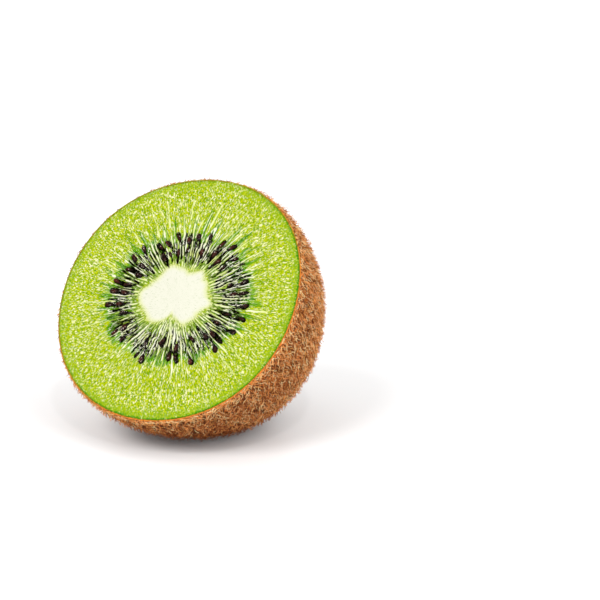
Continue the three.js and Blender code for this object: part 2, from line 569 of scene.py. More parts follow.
@dataclass(frozen=True)
class RadialGrain:
    """The grain of the cut, whose cells are drawn out along the radius.

    A place (x, y) of the cut at radius r becomes (x, y) / r * Around / turn, with
    Along * (reach r + crowding max(r - crowded_from, 0)^2) as the third number, so that cells are one
    unit in size, close on themselves round the axis and grow shorter to the skin. Flecks and fibres
    use the same place with gains of their own, given as round and along.
    """

    least_radius: float = 0.4
    reach: float = 0.7
    crowding: float = 0.03
    crowded_from: float = 15.0
    grain_scale: float = 1.3
    large_gains: Pair = (1.0, 0.9)
    large_limits: Range = (0.585, 0.67)
    small_gains: Pair = (1.7, 1.5)
    small_limits: Range = (0.585, 0.68)
    small_strength: float = 0.85
    fibre_gains: Pair = (1.5, 0.2)
    fibre_scale: float = 0.8

    def build(self) -> bpy.types.NodeTree:
        """Make the group, which takes Place, Around and Along and puts out Grain, Fleck and Fibre."""
        inputs = {"Place": "NodeSocketVector", "Around": "NodeSocketFloat", "Along": "NodeSocketFloat"}
        wiring, given, put = new_group("radial grain", inputs, ["Grain", "Fleck", "Fibre"])
        x, y, _ = wiring.parts(given["Place"])
        square = wiring.math("ADD", wiring.times(x, x), wiring.times(y, y))
        radius = wiring.math("MAXIMUM", wiring.math("SQRT", square), self.least_radius)
        spread = wiring.math("DIVIDE", wiring.math("DIVIDE", given["Around"], TURN), radius)
        beyond = wiring.math("MAXIMUM", wiring.math("SUBTRACT", radius, self.crowded_from), 0.0)
        crowded = wiring.times(wiring.times(beyond, beyond), self.crowding)
        outward = wiring.gained(radius, self.reach, crowded)

        def drawn(round_gain: float, along_gain: float) -> Socket:
            """Give the place with its own gains round and along."""
            made = wiring.node("ShaderNodeCombineXYZ")
            gain = wiring.times(spread, round_gain)
            wiring.feed(made.inputs[0], wiring.times(x, gain))
            wiring.feed(made.inputs[1], wiring.times(y, gain))
            wiring.feed(made.inputs[2], wiring.times(outward, wiring.times(given["Along"], along_gain)))
            return made.outputs[0]

        wiring.feed(put["Grain"], wiring.noise(drawn(1.0, 1.0), self.grain_scale, 3.0))
        large = wiring.fade(wiring.noise(drawn(*self.large_gains), 1.0, 1.5), self.large_limits)
        small = wiring.fade(wiring.noise(drawn(*self.small_gains), 1.0, 1.0), self.small_limits)
        wiring.feed(put["Fleck"], wiring.math("MAXIMUM", large, wiring.times(small, self.small_strength)))
        wiring.feed(put["Fibre"], wiring.noise(drawn(*self.fibre_gains), self.fibre_scale, 2.0))
        return wiring.tree


@dataclass(frozen=True)
class Mottle:
    """Uneven patches in two sizes, for the seeds, the skin and the stem end."""

    broad_limits: Range = (0.3, 0.7)
    fine_limits: Range = (0.25, 0.75)

    def build(self) -> bpy.types.NodeTree:
        """Make the group, which takes Patch and Speck, cells in a metre, and puts out Broad and Fine."""
        inputs = {"Patch": "NodeSocketFloat", "Speck": "NodeSocketFloat"}
        wiring, given, put = new_group("mottle", inputs, ["Broad", "Fine"])
        place = wiring.node("ShaderNodeTexCoord").outputs["Object"]
        wiring.feed(put["Broad"], wiring.fade(wiring.noise(place, given["Patch"], 3.0), self.broad_limits))
        wiring.feed(put["Fine"], wiring.fade(wiring.noise(place, given["Speck"], 4.0), self.fine_limits))
        return wiring.tree


class Groups:
    """The shader node groups that materials share, each made once."""

    def __init__(self) -> None:
        """Make every group."""
        self.grain = RadialGrain().build()
        self.mottle = Mottle().build()

    def use(self, wiring: Wiring, tree: bpy.types.NodeTree, **values: Value) -> dict[str, Socket]:
        """Place a group in a material with its own values.

        Args:
            wiring: the material's wiring.
            tree: the group.
            values: input name, with its first letter small, to a value or a socket.

        Returns:
            What the group puts out, by name.
        """
        made = wiring.node("ShaderNodeGroup", node_tree=tree)
        for name, value in values.items():
            wiring.feed(made.inputs[name.capitalize()], value)
        return dict(made.outputs.items())


def new_material(name: str) -> tuple[bpy.types.Material, Wiring, bpy.types.Node]:
    """Start a material.

    Args:
        name: the material's name.

    Returns:
        The material, its wiring and its Principled shader.
    """
    material = bpy.data.materials.new(name)
    material.use_nodes = True
    wiring = Wiring(material.node_tree)
    return material, wiring, material.node_tree.nodes["Principled BSDF"]


@dataclass(frozen=True)
class Gloss:
    """How a surface shines, as far as that is the same all over it."""

    roughness: float
    specular: float = 0.5
    coat: float = 0.0
    coat_roughness: float = 0.03

    def set_on(self, shader: bpy.types.Node) -> None:
        """Set the shader's own sockets."""
        shader.inputs["Roughness"].default_value = self.roughness
        shader.inputs["Specular IOR Level"].default_value = self.specular
        shader.inputs["Coat Weight"].default_value = self.coat
        shader.inputs["Coat Roughness"].default_value = self.coat_roughness


class Mask(Enum):
    """The masks of the cut, each stored on the mesh under its own name.

    EDGE is no share but the distance to the skin in millimetres. LINE says how plainly the skin's
    green line shows, PULP where painted glints of loose pulp lie and NEAR how near the core a
    place is.
    """

    RAY = "ray"
    STRAND = "strand"
    GAP = "gap"
    CREAM = "cream"
    HEART = "heart"
    STREAK = "streak"
    WHITE = "white"
    EDGE = "edge"
    LINE = "line"
    PULP = "pulp"
    NEAR = "near"


@dataclass(frozen=True)
class CutSockets:
    """What a material of the cut reads: the grain, the masks, and the grain and fibres about 0."""

    wiring: Wiring
    grain: dict[str, Socket]
    masks: dict[Mask, Socket]
    rough: Socket
    fibre: Socket


@dataclass(frozen=True)
class CutFinish:
    """Wet flesh at the cut: lime flesh with pale flecks, partly painted highlights, green gaps that go
    black in their depths as painted shade, pale rays and a cream core.
    """

    name: str
    around: float = 400.0
    along: float = 1.8
    lime: Colour = colour(97, 135, 0)
    bright_lime: Colour = colour(169, 180, 2)
    # pale cells of the flesh, partly painted highlights of the wet cut
    fleck: Colour = colour(224, 221, 176)
    streak: Colour = colour(46, 112, 0)
    streak_pale: Colour = colour(102, 150, 4)
    olive: Colour = colour(90, 114, 8)
    gap_green: Colour = colour(33, 55, 3)
    gap_shadow: Colour = colour(6, 4, 1)
    strand: Colour = colour(150, 176, 62)
    ray: Colour = colour(200, 208, 126)
    ray_white: Colour = colour(226, 226, 204)
    cream: Colour = colour(200, 205, 136)
    heart: Colour = colour(207, 206, 190)
    rim_green: Colour = colour(40, 122, 8)
    rim_pulp: Colour = colour(124, 156, 24)
    gloss: Gloss = Gloss(0.34, 0.0, 0.09, 0.1)
    dullness: float = 0.3
    wet_limits: Range = (0.3, 0.0)
    bump_strength: float = 0.4
    bump_distance: float = 0.00015
    fleck_height: float = 0.6
    cream_limits: Range = (0.4, 0.8)
    cream_roughness: float = 2.4
    cream_flecks: float = 0.3
    ray_limits: Range = (0.2, 0.6)
    ray_roughness: float = 0.8
    gap_roughness: float = 0.8
    gap_start: Range = (0.0, 0.3)
    lime_limits: Range = (0.36, 0.62)
    fleck_cover: float = 0.9
    fleck_over_streaks: float = 0.3
    plain_limits: Range = (2.7, 0.9)
    plain_roughness: float = 4.0
    plain_cover: float = 0.6
    plain_calm: float = 0.8
    line_limits: Range = (0.8, 0.25)
    line_roughness: float = 1.2
    green_limits: Range = (0.45, 0.58)
    deep_green_limits: Range = (0.65, 1.1)
    streak_limits: Range = (0.1, 0.55)
    streak_roughness: float = 1.1
    gap_limits: Range = (0.08, 0.32)
    gap_shadow_limits: Range = (0.24, 0.52)
    strand_limits: Range = (0.15, 0.6)
    glint_limits: Range = (0.4, 0.75)

    def build(self, groups: Groups) -> bpy.types.Material:
        """Wire the material. Masks worked out with the mesh say where each colour lies."""
        material, wiring, shader = new_material(self.name)
        place = wiring.attribute("fruit_place").outputs["Vector"]
        grain = groups.use(wiring, groups.grain, place=place, around=self.around, along=self.along)
        masks = {mask: wiring.mask(mask.value) for mask in Mask}
        rough = wiring.math("SUBTRACT", grain["Grain"], 0.5)
        fibre = wiring.math("SUBTRACT", grain["Fibre"], 0.5)

        grainy = wiring.gained(grain["Fleck"], self.cream_flecks, masks[Mask.CREAM])
        cream = wiring.fade(wiring.gained(rough, self.cream_roughness, grainy), self.cream_limits)
        uneven = wiring.gained(fibre, -self.gap_roughness, masks[Mask.GAP])
        begun = wiring.fade(masks[Mask.GAP], self.gap_start)
        gap = wiring.times(wiring.math("MAXIMUM", uneven, 0.0), begun)
        read = CutSockets(wiring, grain, masks, rough, fibre)
        tone, fleck = self._flesh(read)
        tone = self._streaked(read, tone)
        tone = wiring.mix(wiring.times(fleck, self.fleck_over_streaks), tone, self.fleck)
        close = wiring.gained(rough, self.line_roughness, masks[Mask.EDGE])
        line = wiring.times(wiring.fade(close, self.line_limits), masks[Mask.LINE])
        tone = wiring.mix(line, tone, self.rim_green)
        tone = self._seed_band(read, tone, gap)
        tone = wiring.mix(cream, tone, wiring.mix(masks[Mask.HEART], self.cream, self.heart))
        wiring.feed(shader.inputs["Base Color"], tone)

        self.gloss.set_on(shader)
        dry = wiring.times(wiring.math("MAXIMUM", cream, gap), self.dullness)
        wiring.feed(shader.inputs["Roughness"], wiring.math("ADD", dry, self.gloss.roughness))
        open_flesh = wiring.fade(gap, self.wet_limits)
        wiring.feed(shader.inputs["Coat Weight"], wiring.times(open_flesh, self.gloss.coat))
        height = wiring.gained(fleck, self.fleck_height, grain["Grain"])
        calm = wiring.math("SUBTRACT", 1.0, masks[Mask.HEART])
        relief = wiring.bump(wiring.times(height, calm), self.bump_strength, self.bump_distance)
        wiring.feed(shader.inputs["Normal"], relief)
        return material

    def _flesh(self, read: CutSockets) -> tuple[Socket, Socket]:
        """Work out the lime flesh with its pale flecks, partly painted highlights, plainer in a ragged band
        along the skin.

        Args:
            read: what the material reads.

        Returns:
            The colour, and where flecks lie.
        """
        wiring, grain, masks, rough = read.wiring, read.grain, read.masks, read.rough
        tone = wiring.mix(wiring.fade(grain["Grain"], self.lime_limits), self.lime, self.bright_lime)
        ragged = wiring.gained(rough, self.plain_roughness, masks[Mask.EDGE])
        all_round = wiring.gained(masks[Mask.LINE], 0.5, 0.5)
        plain = wiring.times(wiring.fade(ragged, self.plain_limits), all_round)
        tone = wiring.mix(wiring.times(plain, self.plain_cover), tone, self.rim_pulp)
        fleck = wiring.times(grain["Fleck"], wiring.gained(plain, -self.plain_calm, 1.0))
        return wiring.mix(wiring.times(fleck, self.fleck_cover), tone, self.fleck), fleck

    def _streaked(self, read: CutSockets, tone: Socket) -> Socket:
        """Lay the green of the streaks over the flesh, deeper between the seeds and olive by the core.

        Args:
            read: what the material reads.
            tone: the flesh's colour.

        Returns:
            The colour.
        """
        wiring, grain, masks, fibre = read.wiring, read.grain, read.masks, read.fibre
        green = wiring.mix(wiring.fade(grain["Fibre"], self.green_limits), self.streak, self.streak_pale)
        green = wiring.mix(wiring.fade(masks[Mask.STREAK], self.deep_green_limits), green, self.gap_green)
        green = wiring.mix(masks[Mask.NEAR], green, self.olive)
        torn = wiring.gained(fibre, -self.streak_roughness, masks[Mask.STREAK])
        return wiring.mix(wiring.fade(torn, self.streak_limits), tone, green)

    def _seed_band(self, read: CutSockets, tone: Socket, gap: Socket) -> Socket:
        """Lay gaps, black in their depths as painted shade, strands, painted glints of pulp and rays over
        the flesh round the seeds.

        Args:
            read: what the material reads.
            tone: the colour below them.
            gap: how deep in a gap a place is.

        Returns:
            The colour.
        """
        wiring, grain, masks, rough = read.wiring, read.grain, read.masks, read.rough
        # painted shade: the gaps' green goes to black where they are deepest
        deep = wiring.mix(wiring.fade(gap, self.gap_shadow_limits), self.gap_green, self.gap_shadow)
        tone = wiring.mix(wiring.fade(gap, self.gap_limits), tone, deep)
        tone = wiring.mix(wiring.fade(masks[Mask.STRAND], self.strand_limits), tone, self.strand)
        # painted highlights: white glints of wet pulp
        glint = wiring.times(wiring.fade(grain["Fleck"], self.glint_limits), masks[Mask.PULP])
        tone = wiring.mix(glint, tone, self.ray_white)
        ray = wiring.fade(wiring.gained(rough, self.ray_roughness, masks[Mask.RAY]), self.ray_limits)
        return wiring.mix(ray, tone, wiring.mix(masks[Mask.WHITE], self.ray, self.ray_white))


@dataclass(frozen=True)
class SeedFinish:
    """Seed coats, pitted and wet: black at their sides as painted shade, red-brown on their crowns as
    painted light, with painted white glints.
    """

    name: str = "seed coat"
    dark: Colour = colour(9, 3, 2)
    red: Colour = colour(78, 31, 18)
    painted_glint: Colour = colour(226, 220, 208)
    patch: float = 900.0
    speck: float = 1800.0
    pits: float = 3200.0
    wet_limits: Range = (0.45, 0.75)
    pit_limits: Range = (0.36, 0.2)
    bump_strength: float = 0.9
    bump_distance: float = 0.00014
    gloss: Gloss = Gloss(0.4, 0.02, 0.12, 0.08)

    def build(self, groups: Groups) -> bpy.types.Material:
        """Wire the material."""
        material, wiring, shader = new_material(self.name)
        mottle = groups.use(wiring, groups.mottle, patch=self.patch, speck=self.speck)
        crown = wiring.mask("crown")
        # painted light and shade: red-brown on the crowns, black down the sides
        tone = wiring.mix(wiring.times(mottle["Broad"], crown), self.dark, self.red)
        pit = wiring.cells(wiring.node("ShaderNodeTexCoord").outputs["Object"], self.pits)
        # painted highlights: white glints at pit centres on the crowns
        wet = wiring.times(wiring.fade(mottle["Fine"], self.wet_limits), crown)
        tone = wiring.mix(wiring.times(wiring.fade(pit, self.pit_limits), wet), tone, self.painted_glint)
        wiring.feed(shader.inputs["Base Color"], tone)
        wiring.feed(shader.inputs["Normal"], wiring.bump(pit, self.bump_strength, self.bump_distance))
        self.gloss.set_on(shader)
        return material


@dataclass(frozen=True)
class SkinFinish:
    """Matt brown skin, olive in patches and darker low down as painted shade, with a coloured line at the
    cut.
    """

    name: str = "skin"
    brown: Colour = colour(138, 75, 34)
    olive: Colour = colour(128, 80, 40)
    speck_tone: Colour = colour(98, 50, 22)
    underside_shade: Colour = colour(62, 31, 13)
    olive_line: Colour = colour(168, 162, 6)
    orange_line: Colour = colour(236, 136, 46)
    patch: float = 160.0
    speck: float = 2600.0
    speck_cover: float = 0.4
    lit_side_patches: float = 0.3
    lit_side_limits: Range = (0.3, 1.0)
    spot_limits: Range = (1.1, 0.6)
    bump_strength: float = 0.8
    bump_distance: float = 0.0003
    gloss: Gloss = Gloss(0.75, 0.2)

    def build(self, groups: Groups) -> bpy.types.Material:
        """Wire the material. The line at the cut is olive on the far side and a brighter orange on the side
        that faces the light, as painted light.
        """
        material, wiring, shader = new_material(self.name)
        mottle = groups.use(wiring, groups.mottle, patch=self.patch, speck=self.speck)
        tone = wiring.mix(mottle["Broad"], self.brown, self.olive)
        tone = wiring.mix(wiring.times(mottle["Fine"], self.speck_cover), tone, self.speck_tone)
        # painted shade: darker low down, near the floor
        tone = wiring.mix(wiring.mask("low_shade"), tone, self.underside_shade)
        # painted light: the cut's line is brighter orange on the side that faces the light
        lit_side = wiring.gained(mottle["Broad"], self.lit_side_patches, wiring.mask("lit_side"))
        line = wiring.mix(wiring.fade(lit_side, self.lit_side_limits), self.olive_line, self.orange_line)
        spots = wiring.fade(mottle["Fine"], self.spot_limits)
        tone = wiring.mix(wiring.times(wiring.mask("rim"), spots), tone, line)
        wiring.feed(shader.inputs["Base Color"], tone)
        relief = wiring.bump(mottle["Fine"], self.bump_strength, self.bump_distance)
        wiring.feed(shader.inputs["Normal"], relief)
        self.gloss.set_on(shader)
        return material


@dataclass(frozen=True)
class FuzzFinish:
    """Hairs whose tone runs over the map's u and which grow paler to the tip, along its v."""

    name: str
    dark: Colour
    light: Colour
    root: Colour = colour(60, 30, 14)
    root_cover: float = 0.4
    root_limits: Range = (0.0, 0.3)
    tip_gain: float = 0.4
    least_gain: float = 0.06
    gloss: Gloss = Gloss(0.5, 0.12)

    def build(self) -> bpy.types.Material:
        """Wire the material from the map alone, so that every hair bakes alike."""
        material, wiring, shader = new_material(self.name)
        across, along, _ = wiring.parts(wiring.node("ShaderNodeUVMap", uv_map=BAKE_MAP).outputs["UV"])
        tone = wiring.mix(across, self.dark, self.light)
        root = wiring.mix(self.root_cover, self.dark, self.root)
        tone = wiring.mix(wiring.fade(along, self.root_limits), root, tone)
        tip = wiring.times(along, wiring.gained(across, self.tip_gain, self.least_gain))
        wiring.feed(shader.inputs["Base Color"], wiring.mix(tip, tone, self.light))
        self.gloss.set_on(shader)
        return material


@dataclass(frozen=True)
class StemFinish:
    """The withered stem end, black-brown with lighter ridges."""

    name: str = "stem end"
    dark: Colour = colour(38, 24, 18)
    ridge: Colour = colour(112, 72, 40)
    patch: float = 900.0
    speck: float = 3500.0
    bump_strength: float = 0.7
    bump_distance: float = 0.0002
    gloss: Gloss = Gloss(0.7)

    def build(self, groups: Groups) -> bpy.types.Material:
        """Wire the material."""
        material, wiring, shader = new_material(self.name)
        mottle = groups.use(wiring, groups.mottle, patch=self.patch, speck=self.speck)
        wiring.feed(shader.inputs["Base Color"], wiring.mix(mottle["Broad"], self.dark, self.ridge))
        relief = wiring.bump(mottle["Fine"], self.bump_strength, self.bump_distance)
        wiring.feed(shader.inputs["Normal"], relief)
        self.gloss.set_on(shader)
        return material


class SeedDraw(IntEnum):
    """What each draw for the seeds is for."""

    ANGLE = 1
    INNER_RADIUS = 2
    OUTER_RADIUS = 3
    HAS_INNER = 4
    TURN = 6
    DEPTH = 7
    HAS_OUTER = 8
    TIP = 9
    LUMPS = 56


@dataclass(frozen=True)
class SeedPlan:
    """Where the seeds lie: one or two in each locule, by the rule that the solids follow."""

    locules: int = 34
    length: float = 2.1
    width: float = 1.25
    thickness: float = 1.0
    size_share: Varied = Varied(0.72, 0.24, 5)
    width_share: Varied = Varied(0.58, 0.36, 10)
    band_radius: float = 11.6
    band_oval: float = 1.1
    band_oval_at: float = -15.0
    row_offset: float = 1.35
    angle_scatter: float = 0.5
    inner_scatter: float = 1.6
    outer_scatter: float = 2.0
    least_apart: float = 0.1
    longest_half: float = 0.56
    inner_share: float = 0.7
    outer_share: float = 0.92
    gap: float = 0.3
    spread: float = 50.0

    def band(self, angle: Array) -> Array:
        """Give the middle radius of the seed band, slightly oval."""
        return self.band_radius + self.band_oval * np.cos(2 * (angle - np.radians(self.band_oval_at)))

    def places(self, form: FruitForm) -> tuple[Array, Array, Array]:
        """Work out every seed's angle, radius and number.

        Args:
            form: the fruit, whose core and inner flesh bound the seeds.

        Returns:
            Angles in radians, radii in millimetres and the numbers that their draws use.
        """
        locule = np.arange(self.locules, dtype=float)

        def about(scatter: float, key: SeedDraw) -> Array:
            """Draw a number for each locule that lies as much above 0 as below it."""
            return scatter * (draw(locule, key) - 0.5)

        angle = TURN * (locule + about(self.angle_scatter, SeedDraw.ANGLE)) / self.locules
        band = self.band(angle)
        inner = band - self.row_offset + about(self.inner_scatter, SeedDraw.INNER_RADIUS)
        outer = band + self.row_offset + about(self.outer_scatter, SeedDraw.OUTER_RADIUS)
        outer = np.maximum(outer, inner + self.length + self.least_apart)
        reach = self.length * self.longest_half + 2 * self.gap
        limits = form.core_radius(angle) + reach, form.ring_radius(angle) - reach
        has_inner = draw(locule, SeedDraw.HAS_INNER) < self.inner_share
        has_outer = draw(locule, SeedDraw.HAS_OUTER) < self.outer_share
        angles = np.concatenate([angle[has_inner], angle[has_outer]])
        radii = np.concatenate([np.clip(inner, *limits)[has_inner], np.clip(outer, *limits)[has_outer]])
        numbers = np.concatenate([2 * locule[has_inner], 2 * locule[has_outer] + 1])
        return angles, radii, numbers

    def turns(self, angles: Array, numbers: Array) -> Array:
        """Give the way each seed points: out from the axis, turned aside by a draw."""
        return angles + np.radians(self.spread) * (draw(numbers, SeedDraw.TURN) - 0.5)


@dataclass(frozen=True)
class CutPlace:
    """Places on the cut, with what the masks have in common there.

    Rays are counted round the axis by phase: number is the nearest one, offset the distance to it
    and step the distance from one to the next. share is the radius as a share of the skin's,
    from_core the distance from the core, band the middle radius of the seeds, upward 1 towards
    the longest streaks and -1 away from them, pocket how far a place is in a hollow by a seed,
    sunk there and painted dark as shadow, and spread_apart how closely rays follow each other:
    1 as usual, and less where they part for a seed.
    """

    angle: Array
    radius: Array
    share: Array
    from_core: Array
    phase: Array
    number: Array
    offset: Array
    step: Array
    band: Array
    upward: Array
    pocket: Array
    spread_apart: Array


class CutDraw(IntEnum):
    """What each draw and noise over the cut is for, where no Varied or Patches says it."""

    WAVER = 20
    SPACING = 21
    WANDER = 22
    GAP_END = 27
    SOFT_RELIEF = 31
    FINE_RELIEF = 32
    STRAND_PRESENT = 33
    STRAND_REACH = 34
    WHITE_REACH = 37
    TEETH = 38
    GAP_DEPTH = 42
    POCKET_SIDE = 44
    STREAK_DEPTH = 47
    JAGS = 48
    VEIN = 51
    FRAYED = 54


@dataclass(frozen=True)
class CutPattern:
    """How rays, locules, the core's edge and the skin's edge run over the cut, in millimetres."""

    form: FruitForm
    seeds: SeedPlan
    rays: int = RAYS
    least_radius: float = 3.0
    ray_width: float = 0.14
    ray_height: float = 0.12
    ray_strength: Varied = Varied(0.6, 0.4, 23)
    ray_end: Varied = Varied(0.66, 0.2, 24)
    ray_widths: Varied = Varied(0.65, 0.7, 25)
    ray_breaks: Patches = Patches(RAYS, 0.9, (0.25, 0.5), 26)
    beads: Patches = Patches(2 * RAYS, 0.4, (0.55, 0.3), 53)
    bead_reach: Range = (3.2, 0.8)
    bead_depth: float = 0.7
    ray_start: Range = (-0.7, 0.2)
    ray_end_up: float = 0.12
    strand_start: Range = (-0.3, 0.3)
    hollow_shade_cover: float = 0.8
    odd_shortfall: float = 0.12
    vein_width: float = 0.2
    vein_strength: float = 0.44
    veinless_share: float = 0.68
    vein_start: Range = (0.5, 0.6)
    vein_end: Range = (0.94, 0.8)
    crowded: Range = (0.2, 0.75)
    strand_width: float = 0.07
    strand_strength: Varied = Varied(0.4, 0.6, 35)
    strand_present: Range = (0.35, 0.6)
    strand_end: Range = (0.9, 0.62)
    gap_width: float = 0.245
    gap_widths: Varied = Varied(0.8, 0.8, 43)
    gap_start: Varied = Varied(0.4, 1.9, 41)
    gap_end_spread: float = 2.1
    gap_softness: float = 0.9
    gap_patches: Patches = Patches(2 * RAYS, 0.8, (0.3, 0.5), 28)
    gap_depth: float = 0.4
    hollow_shade_patches: Patches = Patches(2 * RAYS, 0.6, (0.3, 0.6), 46)
    part_width: float = 0.42
    part_steepness: float = 0.3
    part_reach: Pair = (0.95, 1.5)
    white_patches: Patches = Patches(RAYS, 1.5, (0.1, 0.5), 39)
    white_strength: Varied = Varied(0.45, 0.55, 40)
    white_reach: Range = (7.0, 2.5)
    longest_streaks_at: float = 62.0
    streak_length: Varied = Varied(4.2, 6.0, 36)
    streak_width: Varied = Varied(0.44, 0.24, 45)
    streak_breaks: Patches = Patches(2 * RAYS, 1.3, (0.2, 0.5), 52)
    green_reach: Range = (3.4, 0.6)
    green_fray: float = 2.6
    pulp_patches: Patches = Patches(40, 1.6, (0.3, 0.6), 49)
    pulp_reach: Range = (3.0, 1.0)
    jag: float = 0.9
    core_teeth: Varied = Varied(0.2, 0.8, 29)
    near_reach: Range = (3.6, 0.6)
    near_strength: float = 0.8
    widest_edge: float = 4.0
    shaded_at: float = -62.0

    def phase(self, angle: Array, radius: Array) -> Array:
        """Count rays round the axis: whole numbers lie on rays, unevenly spaced and slightly wavy."""
        spacing = 0.7 * (ring_noise(angle, 0.0 * radius, self.rays // 2, 1.0, CutDraw.SPACING) - 0.5)
        wander = 0.7 * (ring_noise(angle, radius, 23, 6.0, CutDraw.WANDER) - 0.5)
        waver = 0.2 * (ring_noise(angle, radius, 60, 1.3, CutDraw.WAVER) - 0.5)
        return angle / TURN * self.rays + spacing + wander + waver

    def parted(self, angle: Array, radius: Array) -> Array:
        """Shift angles so that rays run round the seeds.

        Near a seed, a place at s beside it is read at s - w tanh(s / steepness), with a bell curve
        of both distances as its weight, so that what lies on the seed's line is spread apart.

        Args:
            angle: place round the axis, in radians.
            radius: distance from the axis, in millimetres.

        Returns:
            The angles to read the rays at.
        """
        wide, long = self.part_reach
        shift = np.zeros_like(radius)
        for seed_angle, seed_radius, _ in zip(*self.seeds.places(self.form)):
            aside = (np.mod(angle - seed_angle + np.pi, TURN) - np.pi) * radius
            near = np.exp(-((aside / wide) ** 2) - ((radius - seed_radius) / long) ** 2)
            shift -= self.part_width * np.tanh(aside / self.part_steepness) * near
        return angle + shift / np.maximum(radius, self.least_radius)

    def pockets(self, x: Array, y: Array) -> Array:
        """Work out the hollows round the seeds: narrow slits that run in from them, sunk and painted dark
        as shadow.

        Each is an oval round the seed, set a little to one side, or a longer and thinner one
        that starts at its inner end, whichever is stronger.

        Args:
            x: place on the cut, in millimetres.
            y: the same, the other way.

        Returns:
            A mask from 0 to 1.
        """
        angles, radii, numbers = self.seeds.places(self.form)
        turns, sizes = self.seeds.turns(angles, numbers), self.seeds.size_share.of(numbers)
        slim = self.seeds.width_share.of(numbers)
        beside = 0.5 * (draw(numbers, CutDraw.POCKET_SIDE) - 0.5)
        hollow = np.zeros_like(x)
        for angle, radius, turn, size, thin, shift in zip(angles, radii, turns, sizes, slim, beside):
            across, ahead = x - radius * np.cos(angle), y - radius * np.sin(angle)
            along = (across * np.cos(turn) + ahead * np.sin(turn)) / (0.5 * size * self.seeds.length)
            aside = (ahead * np.cos(turn) - across * np.sin(turn)) / (0.5 * size * thin * self.seeds.width)
            tapered = aside / (1.0 + 0.25 * np.clip(along, -1.0, 1.0)) - shift
            # painted shadow: dark ovals and slits hug each seed, where the cut is also sunk
            hollow = np.maximum(hollow, 0.7 * smooth(1.3, 1.0, np.hypot(along, tapered)))
            slit = np.hypot((along + 1.4) / 1.4, (aside + 1.4 * shift) / 0.65)
            hollow = np.maximum(hollow, 0.9 * smooth(1.05, 0.6, slit))
        return hollow

    def places(self, angle: Array, radius: Array) -> CutPlace:
        """Work out what the masks have in common at polar places of the cut."""
        angle, radius = np.broadcast_arrays(angle, radius)
        parted = self.parted(angle, radius)
        phase = self.phase(parted, radius)
        nearest = np.round(phase)
        step = TURN * np.maximum(radius, self.least_radius) / self.rays
        patchy = 0.45 + 0.55 * self.hollow_shade_patches.at(angle, radius)
        return CutPlace(
            angle=angle,
            radius=radius,
            share=radius / self.form.skin_radius(angle),
            from_core=radius - self.form.core_radius(angle),
            phase=phase,
            number=np.mod(nearest, self.rays),
            offset=np.abs(phase - nearest) * step,
            step=step,
            band=self.seeds.band(angle),
            upward=np.cos(angle - np.radians(self.longest_streaks_at)),
            pocket=self.pockets(radius * np.cos(angle), radius * np.sin(angle)) * patchy,
            spread_apart=np.abs(np.gradient(parted, axis=1)) * angle.shape[1] / TURN,
        )

    def _width(self, at: CutPlace) -> Array:
        """Give each ray's half width, a little more beyond the seeds."""
        return self.ray_width * self.ray_widths.of(at.number) * (1.1 + 0.1 * smooth(0.45, 0.6, at.share))

    def _rays(self, at: CutPlace) -> Array:
        """Work out rays: thin bell curves about lines that run outwards from the core.

        Each has its own strength, width and end, and every second one ends sooner. Near the core
        they break up into beads, a few run on to the skin as faint veins, and they fade in pockets,
        under the painted shadow there, and where the lines are spread apart round a seed.

        Args:
            at: places on the cut.

        Returns:
            A mask from 0 to 1.
        """
        end = self.ray_end.of(at.number) + self.ray_end_up * at.upward
        end = end - self.odd_shortfall * np.mod(at.number, 2.0)
        broken = 0.4 + 0.6 * self.ray_breaks.at(at.angle, at.radius)
        ray = np.exp(-((at.offset / self._width(at)) ** 2)) * self.ray_strength.of(at.number) * broken
        ray = ray * smooth(end + 0.05, end - 0.18, at.share)
        beaded = self.bead_depth * smooth(*self.bead_reach, at.from_core)
        ray = ray * (1.0 - beaded * self.beads.at(at.angle, at.radius))
        veined = self.vein_strength * (draw(at.number, CutDraw.VEIN) > self.veinless_share)
        vein = veined * np.exp(-((at.offset / self.vein_width) ** 2)) * broken
        vein = vein * smooth(*self.vein_start, at.share) * smooth(*self.vein_end, at.share)
        ray = np.maximum(ray, vein) * smooth(*self.ray_start, at.from_core)
        return ray * (1.0 - self.hollow_shade_cover * at.pocket) * smooth(*self.crowded, at.spread_apart)

    def _strands(self, at: CutPlace) -> Array:
        """Work out fine strands between the rays: thin bell curves that come and go along their way."""
        fine = 2.0 * at.phase + 0.5
        nearest = np.round(fine)
        number = np.mod(nearest, 2 * self.rays)
        offset = np.abs(fine - nearest) * TURN * np.maximum(at.radius, self.least_radius) / (2 * self.rays)
        around = number * TURN / (2 * self.rays)
        patchy = ring_noise(around, at.radius, 2 * self.rays, 1.4, CutDraw.STRAND_PRESENT)
        present = smooth(*self.strand_present, patchy)
        reach = smooth(*self.strand_end, at.share + 0.2 * draw(number, CutDraw.STRAND_REACH))
        strand = np.exp(-((offset / self.strand_width) ** 2)) * present * reach
        strand = strand * self.strand_strength.of(number)
        return strand * smooth(*self.strand_start, at.from_core) * (1.0 - self.hollow_shade_cover * at.pocket)

